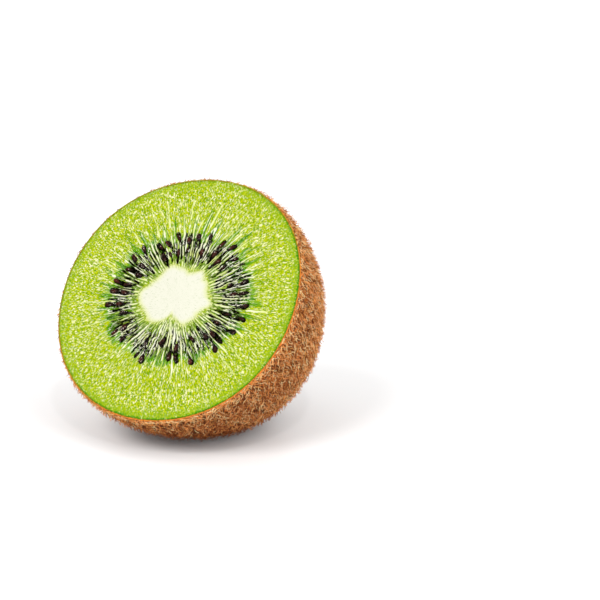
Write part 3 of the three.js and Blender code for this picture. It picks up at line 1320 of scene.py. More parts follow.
    def _gaps(self, at: CutPlace) -> Array:
        """Work out the dark gaps between rays, each with its own start, end, width and depth.

        They are flat-topped bell curves about the lines midway between rays, and the pockets by the
        seeds are gaps too. The mask both sinks the cut and darkens it, its deepest parts to black as
        painted shade.

        Args:
            at: places on the cut.

        Returns:
            A mask from 0 to 1.
        """
        between = np.mod(np.floor(at.phase), self.rays)
        middle = np.abs(at.phase - np.floor(at.phase) - 0.5) * at.step
        start = self.gap_start.of(between) + 0.8 * (0.5 - 0.5 * at.upward)
        outer = at.band + self.gap_end_spread * draw(between, CutDraw.GAP_END) + 0.5 * at.upward
        inside = smooth(start - 0.3, start + 0.6, at.from_core)
        inside = inside * smooth(outer + self.gap_softness, outer - self.gap_softness, at.radius)
        depth = 0.5 + 0.5 * smooth(0.15, 0.5, draw(between, CutDraw.GAP_DEPTH))
        patch = 0.35 + 0.65 * self.gap_patches.at(at.angle, at.radius)
        width = self.gap_width * self.gap_widths.of(between) * (0.6 + 0.4 * smooth(0.0, 3.0, at.from_core))
        return np.maximum(np.exp(-((middle / width) ** 4)) * inside * depth * patch, at.pocket)

    def _whiteness(self, at: CutPlace) -> Array:
        """Work out where rays are white and not yellow-green: patchily, round the seeds."""
        bright = self.white_patches.at(at.angle, at.radius) * self.white_strength.of(at.number)
        far, close = self.white_reach
        shifted = at.radius + 1.5 * (draw(at.number, CutDraw.WHITE_REACH) - 0.5)
        white = bright * smooth(at.band + far, at.band + close, shifted)
        return white * (0.55 + 0.45 * smooth(0.6, 2.6, at.from_core))

    def _streaks(self, at: CutPlace) -> Array:
        """Work out the green of the inner flesh and the streaks that run out of it.

        A streak takes the place of every second ray. Along t from 0 to 1 it narrows to half its
        width and fades as 1 - t^1.5. The green round the seeds ends in an edge frayed by noise.

        Args:
            at: places on the cut.

        Returns:
            A mask from 0 to 1.
        """
        pair = np.mod(np.floor(at.phase / 2.0), self.rays // 2)
        longest = self.streak_length.of(pair) * (0.68 + 0.32 * at.upward)
        out = np.clip((at.radius - at.band - 0.2) / longest, 0.0, 1.0)
        width = self.streak_width.of(pair) * (1.0 - 0.5 * out)
        torn = self.streak_breaks.at(at.angle, at.radius)
        aside = np.abs(np.mod(at.phase, 2.0) - 1.0) * at.step
        streak = np.exp(-((aside / width) ** 4)) * (1.0 - out**1.5)
        streak = streak * (0.68 + 0.32 * torn)
        streak = streak * (0.85 + 0.15 * smooth(0.1, 0.4, draw(pair, CutDraw.STREAK_DEPTH)))
        noise = ring_noise(at.angle, at.radius, self.rays, 1.6, CutDraw.FRAYED)
        frayed = at.radius + self.green_fray * (noise - 0.5)
        far, close = self.green_reach
        inner = smooth(at.band + far, at.band + close, frayed) * smooth(0.0, 0.8, at.from_core)
        inner = inner * (0.62 + 0.3 * smooth(0.8, 2.8, at.from_core))
        return np.maximum(streak * smooth(0.0, 0.5, at.from_core), inner)

    def _pulp(self, at: CutPlace) -> Array:
        """Work out where painted glints of loose pulp lie: in patches from the core to just beyond the
        seeds.
        """
        far, close = self.pulp_reach
        pulp = smooth(at.band + far, at.band + close, at.radius) * smooth(0.6, 2.2, at.from_core)
        return pulp * self.pulp_patches.at(at.angle, at.radius)

    def _core(self, at: CutPlace) -> tuple[Array, Array]:
        """Work out the core's cream, which runs out along each ray in teeth, and its plain heart."""
        jagged = self.jag * (ring_noise(at.angle, 0.0 * at.radius, 30, 1.0, CutDraw.JAGS) - 0.5)
        teeth = 0.1 + 0.7 * ring_noise(at.angle, at.radius, 2 * self.rays, 0.6, CutDraw.TEETH)
        along_rays = 0.8 * np.exp(-((at.offset / (1.2 * self._width(at))) ** 2))
        reach = teeth + along_rays * self.core_teeth.of(at.number)
        cream = 1.0 - smooth(-0.9, 1.1, (at.from_core + 0.15 + jagged) / reach)
        return cream, smooth(0.2, -1.5, at.from_core + jagged)

    def masks(self, angle: Array, radius: Array) -> dict[Mask, Array]:
        """Work out where each tone of the cut lies.

        Args:
            angle: place round the axis, in radians.
            radius: distance from the axis, in millimetres.

        Returns:
            Masks from 0 to 1, and EDGE in millimetres.
        """
        at = self.places(angle, radius)
        cream, heart = self._core(at)
        shaded = np.cos(at.angle - np.radians(self.shaded_at))
        return {
            Mask.RAY: self._rays(at),
            Mask.STRAND: self._strands(at),
            Mask.GAP: self._gaps(at),
            Mask.CREAM: cream,
            Mask.HEART: heart,
            Mask.STREAK: self._streaks(at),
            Mask.WHITE: self._whiteness(at),
            Mask.EDGE: np.clip(self.form.skin_radius(at.angle) - at.radius, 0.0, self.widest_edge),
            Mask.LINE: 0.25 + 0.75 * smooth(-0.5, 0.4, shaded),
            Mask.PULP: self._pulp(at),
            Mask.NEAR: self.near_strength * smooth(*self.near_reach, at.from_core),
        }

    def height(self, angle: Array, radius: Array, masks: dict[Mask, Array]) -> Array:
        """Give the cut's relief: raised rays, sunken locules, a crowned core and soft unevenness."""
        angle, radius = np.broadcast_arrays(angle, radius)
        across = np.minimum(radius / self.form.core_radius(angle), 1.0)
        crown = self.form.core_crown * (1.0 - across**2)
        uneven = 0.1 * (ring_noise(angle, radius, 14, 5.0, CutDraw.SOFT_RELIEF) - 0.5)
        fine = 0.07 * (ring_noise(angle, radius, 150, 0.9, CutDraw.FINE_RELIEF) - 0.5)
        quiet = smooth(0.6, 2.0, self.form.skin_radius(angle) - radius) * (1.0 - 0.8 * masks[Mask.HEART])
        sunk = self.gap_depth * masks[Mask.GAP]
        return crown + self.ray_height * masks[Mask.RAY] - sunk + (uneven + fine) * quiet


class Wall(Enum):
    """Which layer a body's hidden wall belongs to."""

    RING = "ring"
    CORE = "core"


@dataclass
class CutLayer:
    """What the layers of the cut share: a fine patterned face and plain hidden walls."""

    form: FruitForm
    pattern: CutPattern
    around: int = 960
    clearance: float = 0.3
    last_ring: float = 0.96

    def angles(self) -> Array:
        """Give the angle of each column of vertices, as one row."""
        return round_angles(self.around)[None, :]

    def face(self, outer: Array, inner: Array, rows: int) -> tuple[Array, dict[Mask, Array]]:
        """Work out a ring of the cut between two outlines.

        Args:
            outer: the outer radius at each angle.
            inner: the inner radius at each angle.
            rows: rings of vertices, the outermost first.

        Returns:
            The points, and the masks at them.
        """
        angle = self.angles()
        step = np.linspace(0.0, 1.0, rows)[:, None]
        radius = outer + (inner - outer) * step
        masks = self.pattern.masks(angle, radius)
        return round_points(radius, angle, self.pattern.height(angle, radius, masks)), masks

    def wall(self, layer: Wall, depths: Array) -> Array:
        """Work out rings of a layer's wall: R sqrt(1 - (z / D)^2) at each depth.

        Args:
            layer: whose wall it is.
            depths: one column of depths below the cut for each ring, or one for each vertex.

        Returns:
            The points.
        """
        angle = self.angles()
        ring = layer is Wall.RING
        top = self.form.ring_radius(angle) if ring else self.form.core_radius(angle)
        full = self.form.ring_depth if ring else self.form.core_depth
        radius = top * np.sqrt(np.maximum(1.0 - (depths / full) ** 2, 0.0))
        return round_points(radius, angle, -depths)

    def meeting_depth(self) -> Array:
        """Give the depth where the inner flesh's wall runs into the core's, at each angle."""
        ring, core = self.form.ring_radius(self.angles()), self.form.core_radius(self.angles())
        rise = ring**2 - core**2
        return np.sqrt(rise / (ring**2 / self.form.ring_depth**2 - core**2 / self.form.core_depth**2))

    def finish(
        self, name: str, rows: Array, masks: dict[Mask, Array], first_row: int, poles: list[Array]
    ) -> bpy.types.Object:
        """Make the mesh and store the masks on it.

        Args:
            name: the piece's name.
            rows: every ring of points, in order.
            masks: masks on the patterned rings.
            first_row: the first patterned ring.
            poles: the points that close the first and the last ring, or none where those join.

        Returns:
            The piece.
        """
        points = np.concatenate([rows.reshape(-1, 3), *[pole[None, :] for pole in poles]])
        closed = bool(poles)
        quads, triangles = ring_faces(len(rows), self.around, closed, looped=not closed)
        piece = add_mesh(name, self.form.place(points, self.clearance), quads, triangles)
        set_attribute(piece, "fruit_place", points)
        for mask, values in masks.items():
            spread = np.zeros((len(rows), self.around))
            spread[first_row:first_row + len(values)] = values
            at_poles = np.full(len(poles), values[-1].mean())
            set_attribute(piece, mask.value, np.concatenate([spread.ravel(), at_poles]))
        return piece


@dataclass
class OuterFlesh(CutLayer):
    """The lime flesh between the skin and the inner flesh, with the pocket that holds the rest."""

    skin_inset: float = 0.17
    stem_inset: float = 1.5
    face_rows: int = 62
    hidden_rows: int = 8
    core_rows: int = 4

    def build(self) -> bpy.types.Object:
        """Work out the body from the stem end up, over the cut and down the pocket."""
        angle = self.angles()
        fall = np.linspace(QUARTER_TURN, 0.0, self.hidden_rows, endpoint=False)[1:, None]
        dome = self.form.skin_point(angle, fall, self.skin_inset)
        outer = self.form.skin_radius(angle) - self.skin_inset
        face, masks = self.face(outer, self.form.ring_radius(angle), self.face_rows)
        meeting = self.meeting_depth()
        down = np.linspace(0.0, 1.0, self.hidden_rows)[1:, None]
        pocket = self.wall(Wall.RING, meeting * down)
        further = np.linspace(0.0, self.last_ring, self.core_rows)[1:, None]
        last = self.wall(Wall.CORE, meeting + (self.form.core_depth - meeting) * further)
        tip = np.array([0.0, 0.0, -(self.form.depth - self.stem_inset)])
        bottom = np.array([0.0, 0.0, -self.form.core_depth])
        rows = np.concatenate([dome, face, pocket, last])
        return self.finish("outer_flesh", rows, masks, len(dome), [tip, bottom])


@dataclass
class InnerFlesh(CutLayer):
    """The darker flesh with rays and locules, a ring of flesh round the core."""

    face_rows: int = 90
    hidden_rows: int = 5

    def build(self) -> bpy.types.Object:
        """Work out the body over the cut, down the core's side and up the outer wall."""
        angle = self.angles()
        face, masks = self.face(self.form.ring_radius(angle), self.form.core_radius(angle), self.face_rows)
        meeting = self.meeting_depth()
        down = np.linspace(0.0, 1.0, self.hidden_rows)[1:, None]
        inner = self.wall(Wall.CORE, meeting * down)
        outer = self.wall(Wall.RING, meeting * down[-2::-1])
        return self.finish("inner_flesh", np.concatenate([face, inner, outer]), masks, 0, [])


@dataclass
class Core(CutLayer):
    """The pale core, crowned a little at the cut."""

    face_rows: int = 40
    hidden_rows: int = 6
    innermost: float = 0.03

    def build(self) -> bpy.types.Object:
        """Work out the body from its lower end up its side and over the cut to the middle."""
        radius = self.form.core_radius(self.angles())
        depths = np.linspace(self.last_ring, 0.0, self.hidden_rows, endpoint=False)[:, None]
        side = self.wall(Wall.CORE, self.form.core_depth * depths)
        face, masks = self.face(radius, self.innermost * radius, self.face_rows)
        bottom = np.array([0.0, 0.0, -self.form.core_depth])
        middle = np.array([0.0, 0.0, face[-1, :, 2].mean()])
        return self.finish("core_flesh", np.concatenate([side, face]), masks, len(side), [bottom, middle])


@dataclass
class Skin:
    """A thin closed shell over the rounded side, ending in a fine line at the cut."""

    form: FruitForm
    thickness: float = 0.32
    stem_thickness: float = 1.2
    around: int = 480
    outer_rows: int = 150
    inner_rows: int = 10
    line_width: float = 0.14
    line_edge: float = 0.02
    lump: float = 0.12
    lump_length: float = 3.0
    lump_draw: int = 41
    low_shade_heights: Range = (14.0, 4.0)

    def build(self) -> bpy.types.Object:
        """Work out the outer skin down from the cut, and the inner side back up to it."""
        angle = round_angles(self.around)[None, :]
        fall = np.linspace(0.0, QUARTER_TURN, self.outer_rows + 1)[:-1]
        fall = np.insert(fall, 1, self.line_width / self.form.depth)[:, None]
        outer = self.form.skin_point(angle, fall)
        noise = ring_noise(angle, self.form.depth * fall, 40, self.lump_length, self.lump_draw)
        lumps = self.lump * (noise - 0.5) * (smooth(0.0, 0.15, fall) * smooth(QUARTER_TURN, 1.3, fall))
        outer = outer + self.form.skin_normal(outer) * lumps[..., None]
        back = np.linspace(QUARTER_TURN, 0.0, self.inner_rows + 1)[1:, None]
        inner = self.form.skin_point(angle, back, self.thickness)
        rows = np.concatenate([outer[::-1], inner[::-1]])
        tip = self.form.skin_point(np.zeros(1), np.full(1, QUARTER_TURN))[0]
        inner_tip = tip + np.array([0.0, 0.0, self.stem_thickness])
        points = np.concatenate([rows.reshape(-1, 3), tip[None, :], inner_tip[None, :]])
        piece = add_mesh("skin", self.form.place(points), *ring_faces(len(rows), self.around))
        set_attribute(piece, "rim", smooth(-self.line_width, -self.line_edge, points[:, 2]))
        # painted shade near the floor: 1 low down, 0 higher up
        set_attribute(piece, "low_shade", smooth(*self.low_shade_heights, self.form.above_floor(points)))
        # painted light: 1 on the side of the rim that faces the floor and the light
        set_attribute(piece, "lit_side", facing(np.arctan2(points[:, 1], points[:, 0])))
        return piece


@dataclass
class Seeds:
    """Every seed of the cut in one piece: drops with their narrow ends to the core."""

    form: FruitForm
    plan: SeedPlan
    around: int = 18
    rows: int = 13
    lump: float = 0.16
    ends: Pair = (-0.53, 0.5)
    tip_swing: float = 36.0
    least_sunk: float = 0.14
    sunk_spread: float = 0.28
    lit_top_heights: Range = (0.15, 0.55)

    def build(self) -> bpy.types.Object:
        """Work out one drop, then lay a copy in each place.

        A drop is a sphere of diameter 1 whose height and width grow along its length by
        (1 + x / 2), with its narrow end drawn to a blunt point and its sides lumpy, each in its
        own way. Some lie deeper in the flesh than others.
        """
        angles, radii, numbers = self.plan.places(self.form)
        drops = self._drops(numbers)
        sizes = np.array([self.plan.length, self.plan.width, self.plan.thickness])
        drops = drops * self.plan.size_share.of(numbers)[:, None, None] * sizes
        drops[..., 1] *= self.plan.width_share.of(numbers)[:, None]
        tip_up = np.radians(self.tip_swing) * (draw(numbers, SeedDraw.TIP) - 0.5)
        drops = self._tilted(drops, self.plan.turns(angles, numbers), tip_up)
        lift = -self.least_sunk - self.sunk_spread * draw(numbers, SeedDraw.DEPTH) ** 2
        points = (drops + round_points(radii, angles, lift)[:, None, :]).reshape(-1, 3)

        copies = [for_copies(faces, *drops.shape[:2]) for faces in ring_faces(self.rows, self.around)]
        piece = add_mesh("seeds", self.form.place(points), *copies)
        # painted light: crown is 1 on each seed's upper side, lit, and 0 on its shaded sides
        crown = smooth(*self.lit_top_heights, drops[..., 2] / self.plan.thickness)
        set_attribute(piece, "crown", crown.ravel())
        return piece

    def _drops(self, numbers: Array) -> Array:
        """Give the points of each drop, with its own lumps: seed, vertex and x, y, z."""
        polar = np.linspace(0.0, np.pi, self.rows + 2)[1:-1, None]
        round_way = round_angles(self.around)[None, :]
        x = -0.5 * np.cos(polar) + 0.0 * round_way
        lumps = ring_noise(round_way[None], x[None] + 3.0 * numbers[:, None, None], 6, 0.22, SeedDraw.LUMPS)
        thick = 0.5 * np.sin(polar) ** 0.9 * (1.0 + 0.5 * x) * (1.0 + self.lump * (lumps - 0.6))
        ring = np.stack([x + 0.0 * thick, thick * np.cos(round_way), thick * np.sin(round_way)], axis=-1)
        ends = np.array([[end, 0.0, 0.0] for end in self.ends])
        count = len(numbers)
        return np.concatenate([ring.reshape(count, -1, 3), np.broadcast_to(ends, (count, 2, 3))], axis=1)

    @staticmethod
    def _tilted(drops: Array, turn: Array, tip_up: Array) -> Array:
        """Tip each drop about its width, then turn it in the cut's plane."""
        x, y, z = drops[..., 0], drops[..., 1], drops[..., 2]
        up, side = np.sin(tip_up)[:, None], np.cos(tip_up)[:, None]
        x, z = x * side - z * up, x * up + z * side
        cos, sin = np.cos(turn)[:, None], np.sin(turn)[:, None]
        return np.stack([x * cos - y * sin, x * sin + y * cos, z], axis=-1)


class SepalDraw(IntEnum):
    """What each draw for a sepal is for."""

    SEAT = 51
    LENGTH = 52
    BEND = 53
    RISE = 54
    TWIST = 55


@dataclass
class StemEnd:
    """The withered end of the fruit: a wrinkled button with curled, dried sepals round it."""

    form: FruitForm
    button_radius: float = 1.45
    button_around: int = 48
    rows: int = 12
    fold: float = 0.12
    sepals: int = 9
    sepal_around: int = 8
    sepal_length: float = 2.6
    sepal_width: float = 0.9
    sepal_thickness: float = 0.16
    sepal_start: float = 0.9
    sepal_bend: float = 2.2
    sepal_rise: float = 0.75
    sepal_twist: float = 3.0
    clearance: float = 0.05

    def build(self) -> bpy.types.Object:
        """Join the button and the sepals into one mesh of closed parts."""
        parts = [self._button(), *[self._sepal(number) for number in range(self.sepals)]]
        starts = np.cumsum([0, *[len(points) for points, _, _ in parts]])
        points = np.concatenate([part[0] for part in parts])
        quads = np.concatenate([part[1] + start for part, start in zip(parts, starts)])
        triangles = np.concatenate([part[2] + start for part, start in zip(parts, starts)])
        return add_mesh("stem_end", self.form.place(points, self.clearance), quads, triangles)

    def _base(self) -> float:
        """Give the height of the stub's top in the fruit's frame."""
        return -(self.form.depth + self.form.stub_height - self.form.dimple_depth)

    def _closed(self, points: Array, poles: Array) -> Part:
        """Join rings of points that run away from the fruit, and their two poles, into a closed part."""
        quads, triangles = ring_faces(*points.shape[:2])
        return np.concatenate([points.reshape(-1, 3), poles]), quads[:, ::-1], triangles[:, ::-1]

    def _button(self) -> Part:
        """Work out a low wrinkled dome that hangs from the stub: h (1 - r^2) with radial folds."""
        angle = round_angles(self.button_around)[None, :]
        share = np.linspace(1.0, 0.1, self.rows)[:, None]
        radius = self.button_radius * share * (1.0 + self.fold * np.cos(7 * angle + 4 * share) * share)
        height = self._base() + 0.5 - 0.75 * (1.0 - share**2)
        height = height + self.fold * np.cos(11 * angle) * share * (1 - share)
        poles = np.array([[0.0, 0.0, self._base() + 0.6], [0.0, 0.0, self._base() - 0.2]])
        return self._closed(round_points(radius, angle, height), poles)

    def _sepal(self, number: int) -> Part:
        """Work out one dried sepal: a flat tube along an arc that rises and curls as it runs out.

        Args:
            number: which sepal, for its draws.

        Returns:
            Its points, quads and triangles.
        """
        seat = TURN * (number + 0.6 * (draw(number, SepalDraw.SEAT) - 0.5)) / self.sepals
        along = np.linspace(0.0, 1.0, self.rows)
        length = self.sepal_length * (0.7 + 0.6 * draw(number, SepalDraw.LENGTH))
        bend = seat + (draw(number, SepalDraw.BEND) - 0.5) * self.sepal_bend * along
        arch = np.sin(np.pi * along * (0.6 + 0.5 * draw(number, SepalDraw.RISE)))
        rise = self._base() + 0.35 - self.sepal_rise * arch
        spine = round_points(self.sepal_start + length * along, bend, rise)
        ahead = unit(np.gradient(spine, axis=0))
        side = unit(np.cross(ahead, np.array([0.0, 0.0, 1.0])))
        over = np.cross(side, ahead)
        twist = (draw(number, SepalDraw.TWIST) - 0.5) * self.sepal_twist * along[:, None]
        turned_side = side * np.cos(twist) + over * np.sin(twist)
        turned_over = over * np.cos(twist) - side * np.sin(twist)
        width = 0.5 * self.sepal_width * (np.sin(np.pi * (0.12 + 0.86 * along)) ** 0.7)[:, None, None]
        round_way = round_angles(self.sepal_around)[None, :, None]
        points = (
            spine[:, None, :]
            + width * np.cos(round_way) * turned_side[:, None, :]
            + 0.5 * self.sepal_thickness * np.sin(round_way) * turned_over[:, None, :]
        )
        return self._closed(points, spine[[0, -1]])


class HairDraw(IntEnum):
    """What each draw for a hair is for, counted on from the key of its kind."""

    SCATTER = 0
    TURN = 1
    LENGTH = 2
    LIFT = 3
    WAVES = 4
    PHASE = 5
    BOB = 6
    TONE = 7
    BOLD = 8
    THINNED = 9
    MARGIN = 10
    FLOW = 61


@dataclass(frozen=True)
class HairKind:
    """One kind of hair: how many, how long and thick, how it stands off and curls, and its two tones.

    steps is how many rings each hair has, stray how far hairs turn aside, in radians, and thinned
    the share that is left out low down.
    """

    name: str
    count: int
    steps: int
    length: Pair
    radius: float
    lift: Pair
    curl: float
    stray: float
    thinned: float
    key: int
    dark: Colour
    light: Colour

    def finish(self) -> FuzzFinish:
        """Give the finish in this kind's tones."""
        return FuzzFinish(self.name.replace("_", " "), self.dark, self.light)


# The down that lies lowest carries dark tones, partly painted shade under the hairs above it, and the pale
# kind over it the lightest.
HAIR_KINDS = (
    HairKind("fuzz_down", 12300, 3, (0.55, 1.0), 0.105, (0.1, 0.26), 0.06, 6.2, 0.95, 100,
             colour(92, 43, 14), colour(202, 114, 54)),
    HairKind("fuzz_curl", 9400, 4, (0.8, 1.4), 0.08, (0.15, 0.4), 0.14, 2.4, 0.0, 200,
             colour(78, 34, 10), colour(252, 149, 72)),
    HairKind("fuzz_wavy", 10000, 4, (0.9, 1.5), 0.08, (0.25, 0.55), 0.16, 2.2, 0.4, 300,
             colour(112, 52, 18), colour(255, 185, 104)),
    HairKind("fuzz_pale", 8600, 5, (0.9, 1.7), 0.078, (0.35, 0.7), 0.17, 2.6, 0.8, 400,
             colour(206, 118, 56), colour(255, 226, 166)),
    HairKind("fuzz_stray", 6200, 6, (0.6, 1.2), 0.07, (0.75, 1.12), 0.12, 3.4, 0.3, 500,
             colour(150, 78, 34), colour(245, 166, 98)),
)


@dataclass
class Fuzz:
    """The hairs of one kind, each a tapered closed tube with three sides."""

    form: FruitForm
    kind: HairKind
    sides: int = 3
    scatter_steps: Pair = (0.7548776662, 0.5698402910)
    scatter: float = 0.02
    second_key: float = 0.5
    crowding: float = 1.2
    crowding_reach: float = 0.8
    stem_margin: float = 0.05
    floor_margin: float = 0.25
    cut_margin: float = 0.06
    far_margin: float = 0.7
    far_share: float = 0.4
    thinned_heights: Range = (9.0, 3.0)
    from_cut: float = 0.6
    droop: float = 0.7
    lock_size: float = 1.5
    lock_draw: int = 74
    near_cut_depth: float = 2.5
    grown: float = 0.25
    grown_heights: Range = (22.0, 8.0)
    flow: float = 0.6
    rooted: float = 0.08
    highest: float = 0.04
    lowest: float = 0.04
    bold_share: float = 0.75
    shade_heights: Range = (26.0, 4.0)
    contact_shade_heights: Range = (5.5, 1.5)

    def between(self, number: Array, limits: Pair, use: HairDraw) -> Array:
        """Draw one number for each hair between two limits, as a column."""
        low, high = limits
        return (low + (high - low) * draw(number, self.kind.key + use))[:, None]

    def roots(self) -> tuple[Array, Array, Array]:
        """Scatter roots evenly over the skin.

        Two irrational steps spread them. The first becomes a fall through the running sum of
        ring area, cos f sqrt(a^2 sin^2 f + c^2 cos^2 f), so that each square millimetre gets
        as many, and up to twice as many by the cut. Roots on the pressed spot are left out, as
        are some low down, and most of those right at the cut on its far side.

        Returns:
            Numbers, angles round the axis and falls from the cut.
        """
        kind, form = self.kind, self.form
        number = np.arange(kind.count, dtype=float)
        keys = (kind.key + HairDraw.SCATTER, kind.key + self.second_key)
        first, second = (np.mod(step * number + draw(number, key) * self.scatter, 1.0)
                         for step, key in zip(self.scatter_steps, keys))
        table = np.linspace(self.cut_margin / form.depth, QUARTER_TURN - self.stem_margin, 400)
        area = np.cos(table) * np.hypot(form.half_width * np.sin(table), form.depth * np.cos(table))
        by_cut = np.exp(-((form.depth * table / self.crowding_reach) ** 2))
        running = np.cumsum(area * (1.0 + self.crowding * by_cut))
        fall = np.interp(first * running[-1], running, table)
        angle = TURN * second
        height = form.above_floor(form.skin_point(angle, fall))
        thinned = kind.thinned * smooth(*self.thinned_heights, height)
        kept = draw(number, kind.key + HairDraw.THINNED) > thinned
        held_back = draw(number, kind.key + HairDraw.MARGIN) > self.far_share
        margin = self.far_margin * (1.0 - facing(angle)) * held_back
        free = (height > self.floor_margin) & kept & (fall * form.depth > margin)
        return number[free], angle[free], fall[free]

    def locks(self, angle: Array, fall: Array) -> Array:
        """Number the lock that each hair sways with: a cell of a grid over the skin."""
        rows = np.floor(fall * self.form.depth / self.lock_size)
        girth = TURN * self.form.half_width * np.cos((rows + 0.5) * self.lock_size / self.form.depth)
        columns = np.maximum(np.round(girth / self.lock_size), 6.0)
        return np.floor(angle / TURN * columns) + LOCK_ROW * rows

    def lines(self, number: Array, angle: Array, fall: Array) -> tuple[Array, Array]:
        """Work out every hair's middle line.

        A hair runs from its root away from the cut and downward, turned aside by a draw. Along t
        from 0 to 1 it travels L t over the skin, rises lift * (1 - (1 - t)^2), sinks with the
        skin's curve by travel squared over twice its radius, and sways by
        curl * sin(2 pi (f t + phase)). Hairs are shorter by the cut and longer low down.

        Args:
            number: each hair's number.
            angle: its root's angle.
            fall: its root's fall.

        Returns:
            The points along each line, and the direction across it.
        """
        kind, form = self.kind, self.form
        root = form.skin_point(angle, fall)
        normal = form.skin_normal(root)
        pull = -np.array([0.0, 0.0, self.from_cut]) - self.droop * form.basis()[:, 2]
        down = unit(pull - normal * (normal @ pull)[:, None])
        across = np.cross(normal, down)
        flow = ring_noise(angle, root[:, 2] + 50.0, 16, 6.0, kind.key + HairDraw.FLOW)
        loose = kind.stray * (1.0 + 0.8 * smooth(-1.5, 0.0, root[:, 2]))
        aside = (draw(number, kind.key + HairDraw.TURN) - 0.5) * loose + (flow - 0.5) * self.flow
        ahead = down * np.cos(aside)[:, None] + across * np.sin(aside)[:, None]
        side = np.cross(normal, ahead)

        off_cut = self.off_cut(root)[:, None]
        grown = 1.0 + self.grown * smooth(*self.grown_heights, form.above_floor(root))[:, None]
        length = self.between(number, kind.length, HairDraw.LENGTH) * (0.65 + 0.35 * off_cut) * grown
        lift = self.between(number, kind.lift, HairDraw.LIFT) * (0.5 + 0.5 * off_cut)
        t = np.linspace(0.0, 1.0, kind.steps + 1)[None, :]
        travel = length * t
        waves = length * self.between(number, (0.45, 0.8), HairDraw.WAVES)
        phase = 3.0 * draw(self.locks(angle, fall), self.lock_draw)[:, None]
        phase = phase + self.between(number, (0.0, 0.7), HairDraw.PHASE)
        sway = kind.curl * smooth(0.0, 0.4, t) * np.sin(TURN * (waves * t + phase))
        bob = 0.25 * lift * t * np.sin(TURN * self.between(number, (0.5, 1.5), HairDraw.BOB) * t)
        rise = lift * (1.0 - (1.0 - t) ** 2) + bob - travel**2 / (2.0 * form.half_width)
        line = (
            root[:, None, :]
            + travel[..., None] * ahead[:, None, :]
            + rise[..., None] * normal[:, None, :]
            + sway[..., None] * side[:, None, :]
        )
        line -= self.rooted * normal[:, None, :] * (1.0 - t)[..., None]
        return line, side

    def off_cut(self, root: Array) -> Array:
        """Give 0 for roots at the cut and 1 for those well below it."""
        return smooth(0.0, self.near_cut_depth, -root[:, 2])

    def build(self) -> bpy.types.Object:
        """Lay a tapered tube round every hair's line, cut off level with the cut."""
        kind = self.kind
        number, angle, fall = self.roots()
        line, side = self.lines(number, angle, fall)
        along = unit(line[:, -1] - line[:, 0])
        first = unit(np.cross(along, side))
        second = np.cross(along, first)
        corner = round_angles(self.sides)[None, None, :, None]
        t = np.linspace(0.0, 1.0, kind.steps + 1)[None, :-1]
        taper = (kind.radius * (1.0 - 0.5 * t))[..., None, None]
        shell = line[:, :-1, None, :] + taper * (
            np.cos(corner) * first[:, None, None, :] + np.sin(corner) * second[:, None, None, :]
        )
        hairs = np.concatenate([shell.reshape(len(line), -1, 3), line[:, -1:, :]], axis=1)
        hairs[..., 2] = np.minimum(hairs[..., 2], self.highest)

        quads, _ = ring_faces(kind.steps, self.sides, poles=False)
        top, tip = self.sides * (kind.steps - 1), self.sides * kind.steps
        ends = np.array([[top, top + 1, tip], [top + 1, top + 2, tip], [top + 2, top, tip], [2, 1, 0]])
        copies = [for_copies(faces, *hairs.shape[:2]) for faces in (quads, ends)]
        piece = add_mesh(kind.name, self.form.place(hairs.reshape(-1, 3), self.lowest), *copies)
        set_bake_map(piece, self._map(number, angle, fall))
        return piece

    def _painted_light_shift(self, number: Array, angle: Array, root: Array) -> Array:
        """Work out how much paler or darker each hair is painted than others of its kind, as painted light
        and shade.

        Hairs by the cut on the side that faces the light are paler, as painted light. Lower down
        they are darker as painted shade, but for a few bold ones, and those that touch the floor are
        darkest, as painted contact shadow.

        Args:
            number: each hair's number.
            angle: its root's angle.
            root: its root.

        Returns:
            What is added to its tone.
        """
        by_cut = 1.0 - self.off_cut(root)
        height = self.form.above_floor(root)
        bold = draw(number, self.kind.key + HairDraw.BOLD) > self.bold_share
        # painted light: hairs by the cut are paler on the side that faces the light
        paler = 0.04 + by_cut * (0.75 * facing(angle) - 0.3)
        shade = smooth(*self.shade_heights, height) * (1.0 - 0.8 * by_cut)
        return paler + (shade * (1.0 * bold - 0.46) - 1.3 * smooth(*self.contact_shade_heights, height))

    def _map(self, number: Array, angle: Array, fall: Array) -> Array:
        """Lay each hair in the map: its tone is u, give or take a sliver, and its length is v.

        Args:
            number: each hair's number.
            angle: its root's angle.
            fall: its root's fall.

        Returns:
            The u and v of every vertex.
        """
        steps = self.kind.steps
        root = self.form.skin_point(angle, fall)
        drawn = draw(number, self.kind.key + HairDraw.TONE) + self._painted_light_shift(number, angle, root)
        tone = 0.04 + 0.92 * smooth(0.2, 0.8, drawn)[:, None]
        sliver = np.append(np.tile([-0.01, 0.0, 0.01], steps), 0.0)[None, :]
        height = np.append(np.repeat(np.arange(steps) / steps, self.sides), 1.0)[None, :]
        start = (0.3 * (1.0 - self.off_cut(root)))[:, None]
        along = start + (1.0 - start) * height
        return np.stack([tone + sliver, 0.02 + 0.96 * along], axis=-1).reshape(-1, 2)


@dataclass(frozen=True)
class Sun:
    """A soft light from far off.

    azimuth is 0 from the camera's side and 90 from the right, height is above the floor and
    softness is the disc's width, all in degrees. Strength is in watts a square metre.
    """

    name: str
    azimuth: float
    height: float
    strength: float
    softness: float

    def build(self) -> None:
        """Add the light."""
        data = bpy.data.lights.new(self.name, "SUN")
        data.energy, data.angle = self.strength, np.radians(self.softness)
        made = bpy.data.objects.new(self.name, data)
        side, rise = np.radians(self.azimuth), np.radians(self.height)
        towards = Vector((np.sin(side) * np.cos(rise), -np.cos(side) * np.cos(rise), np.sin(rise)))
        made.rotation_mode = "QUATERNION"
        made.rotation_quaternion = towards.to_track_quat("Z", "Y")
        bpy.context.scene.collection.objects.link(made)


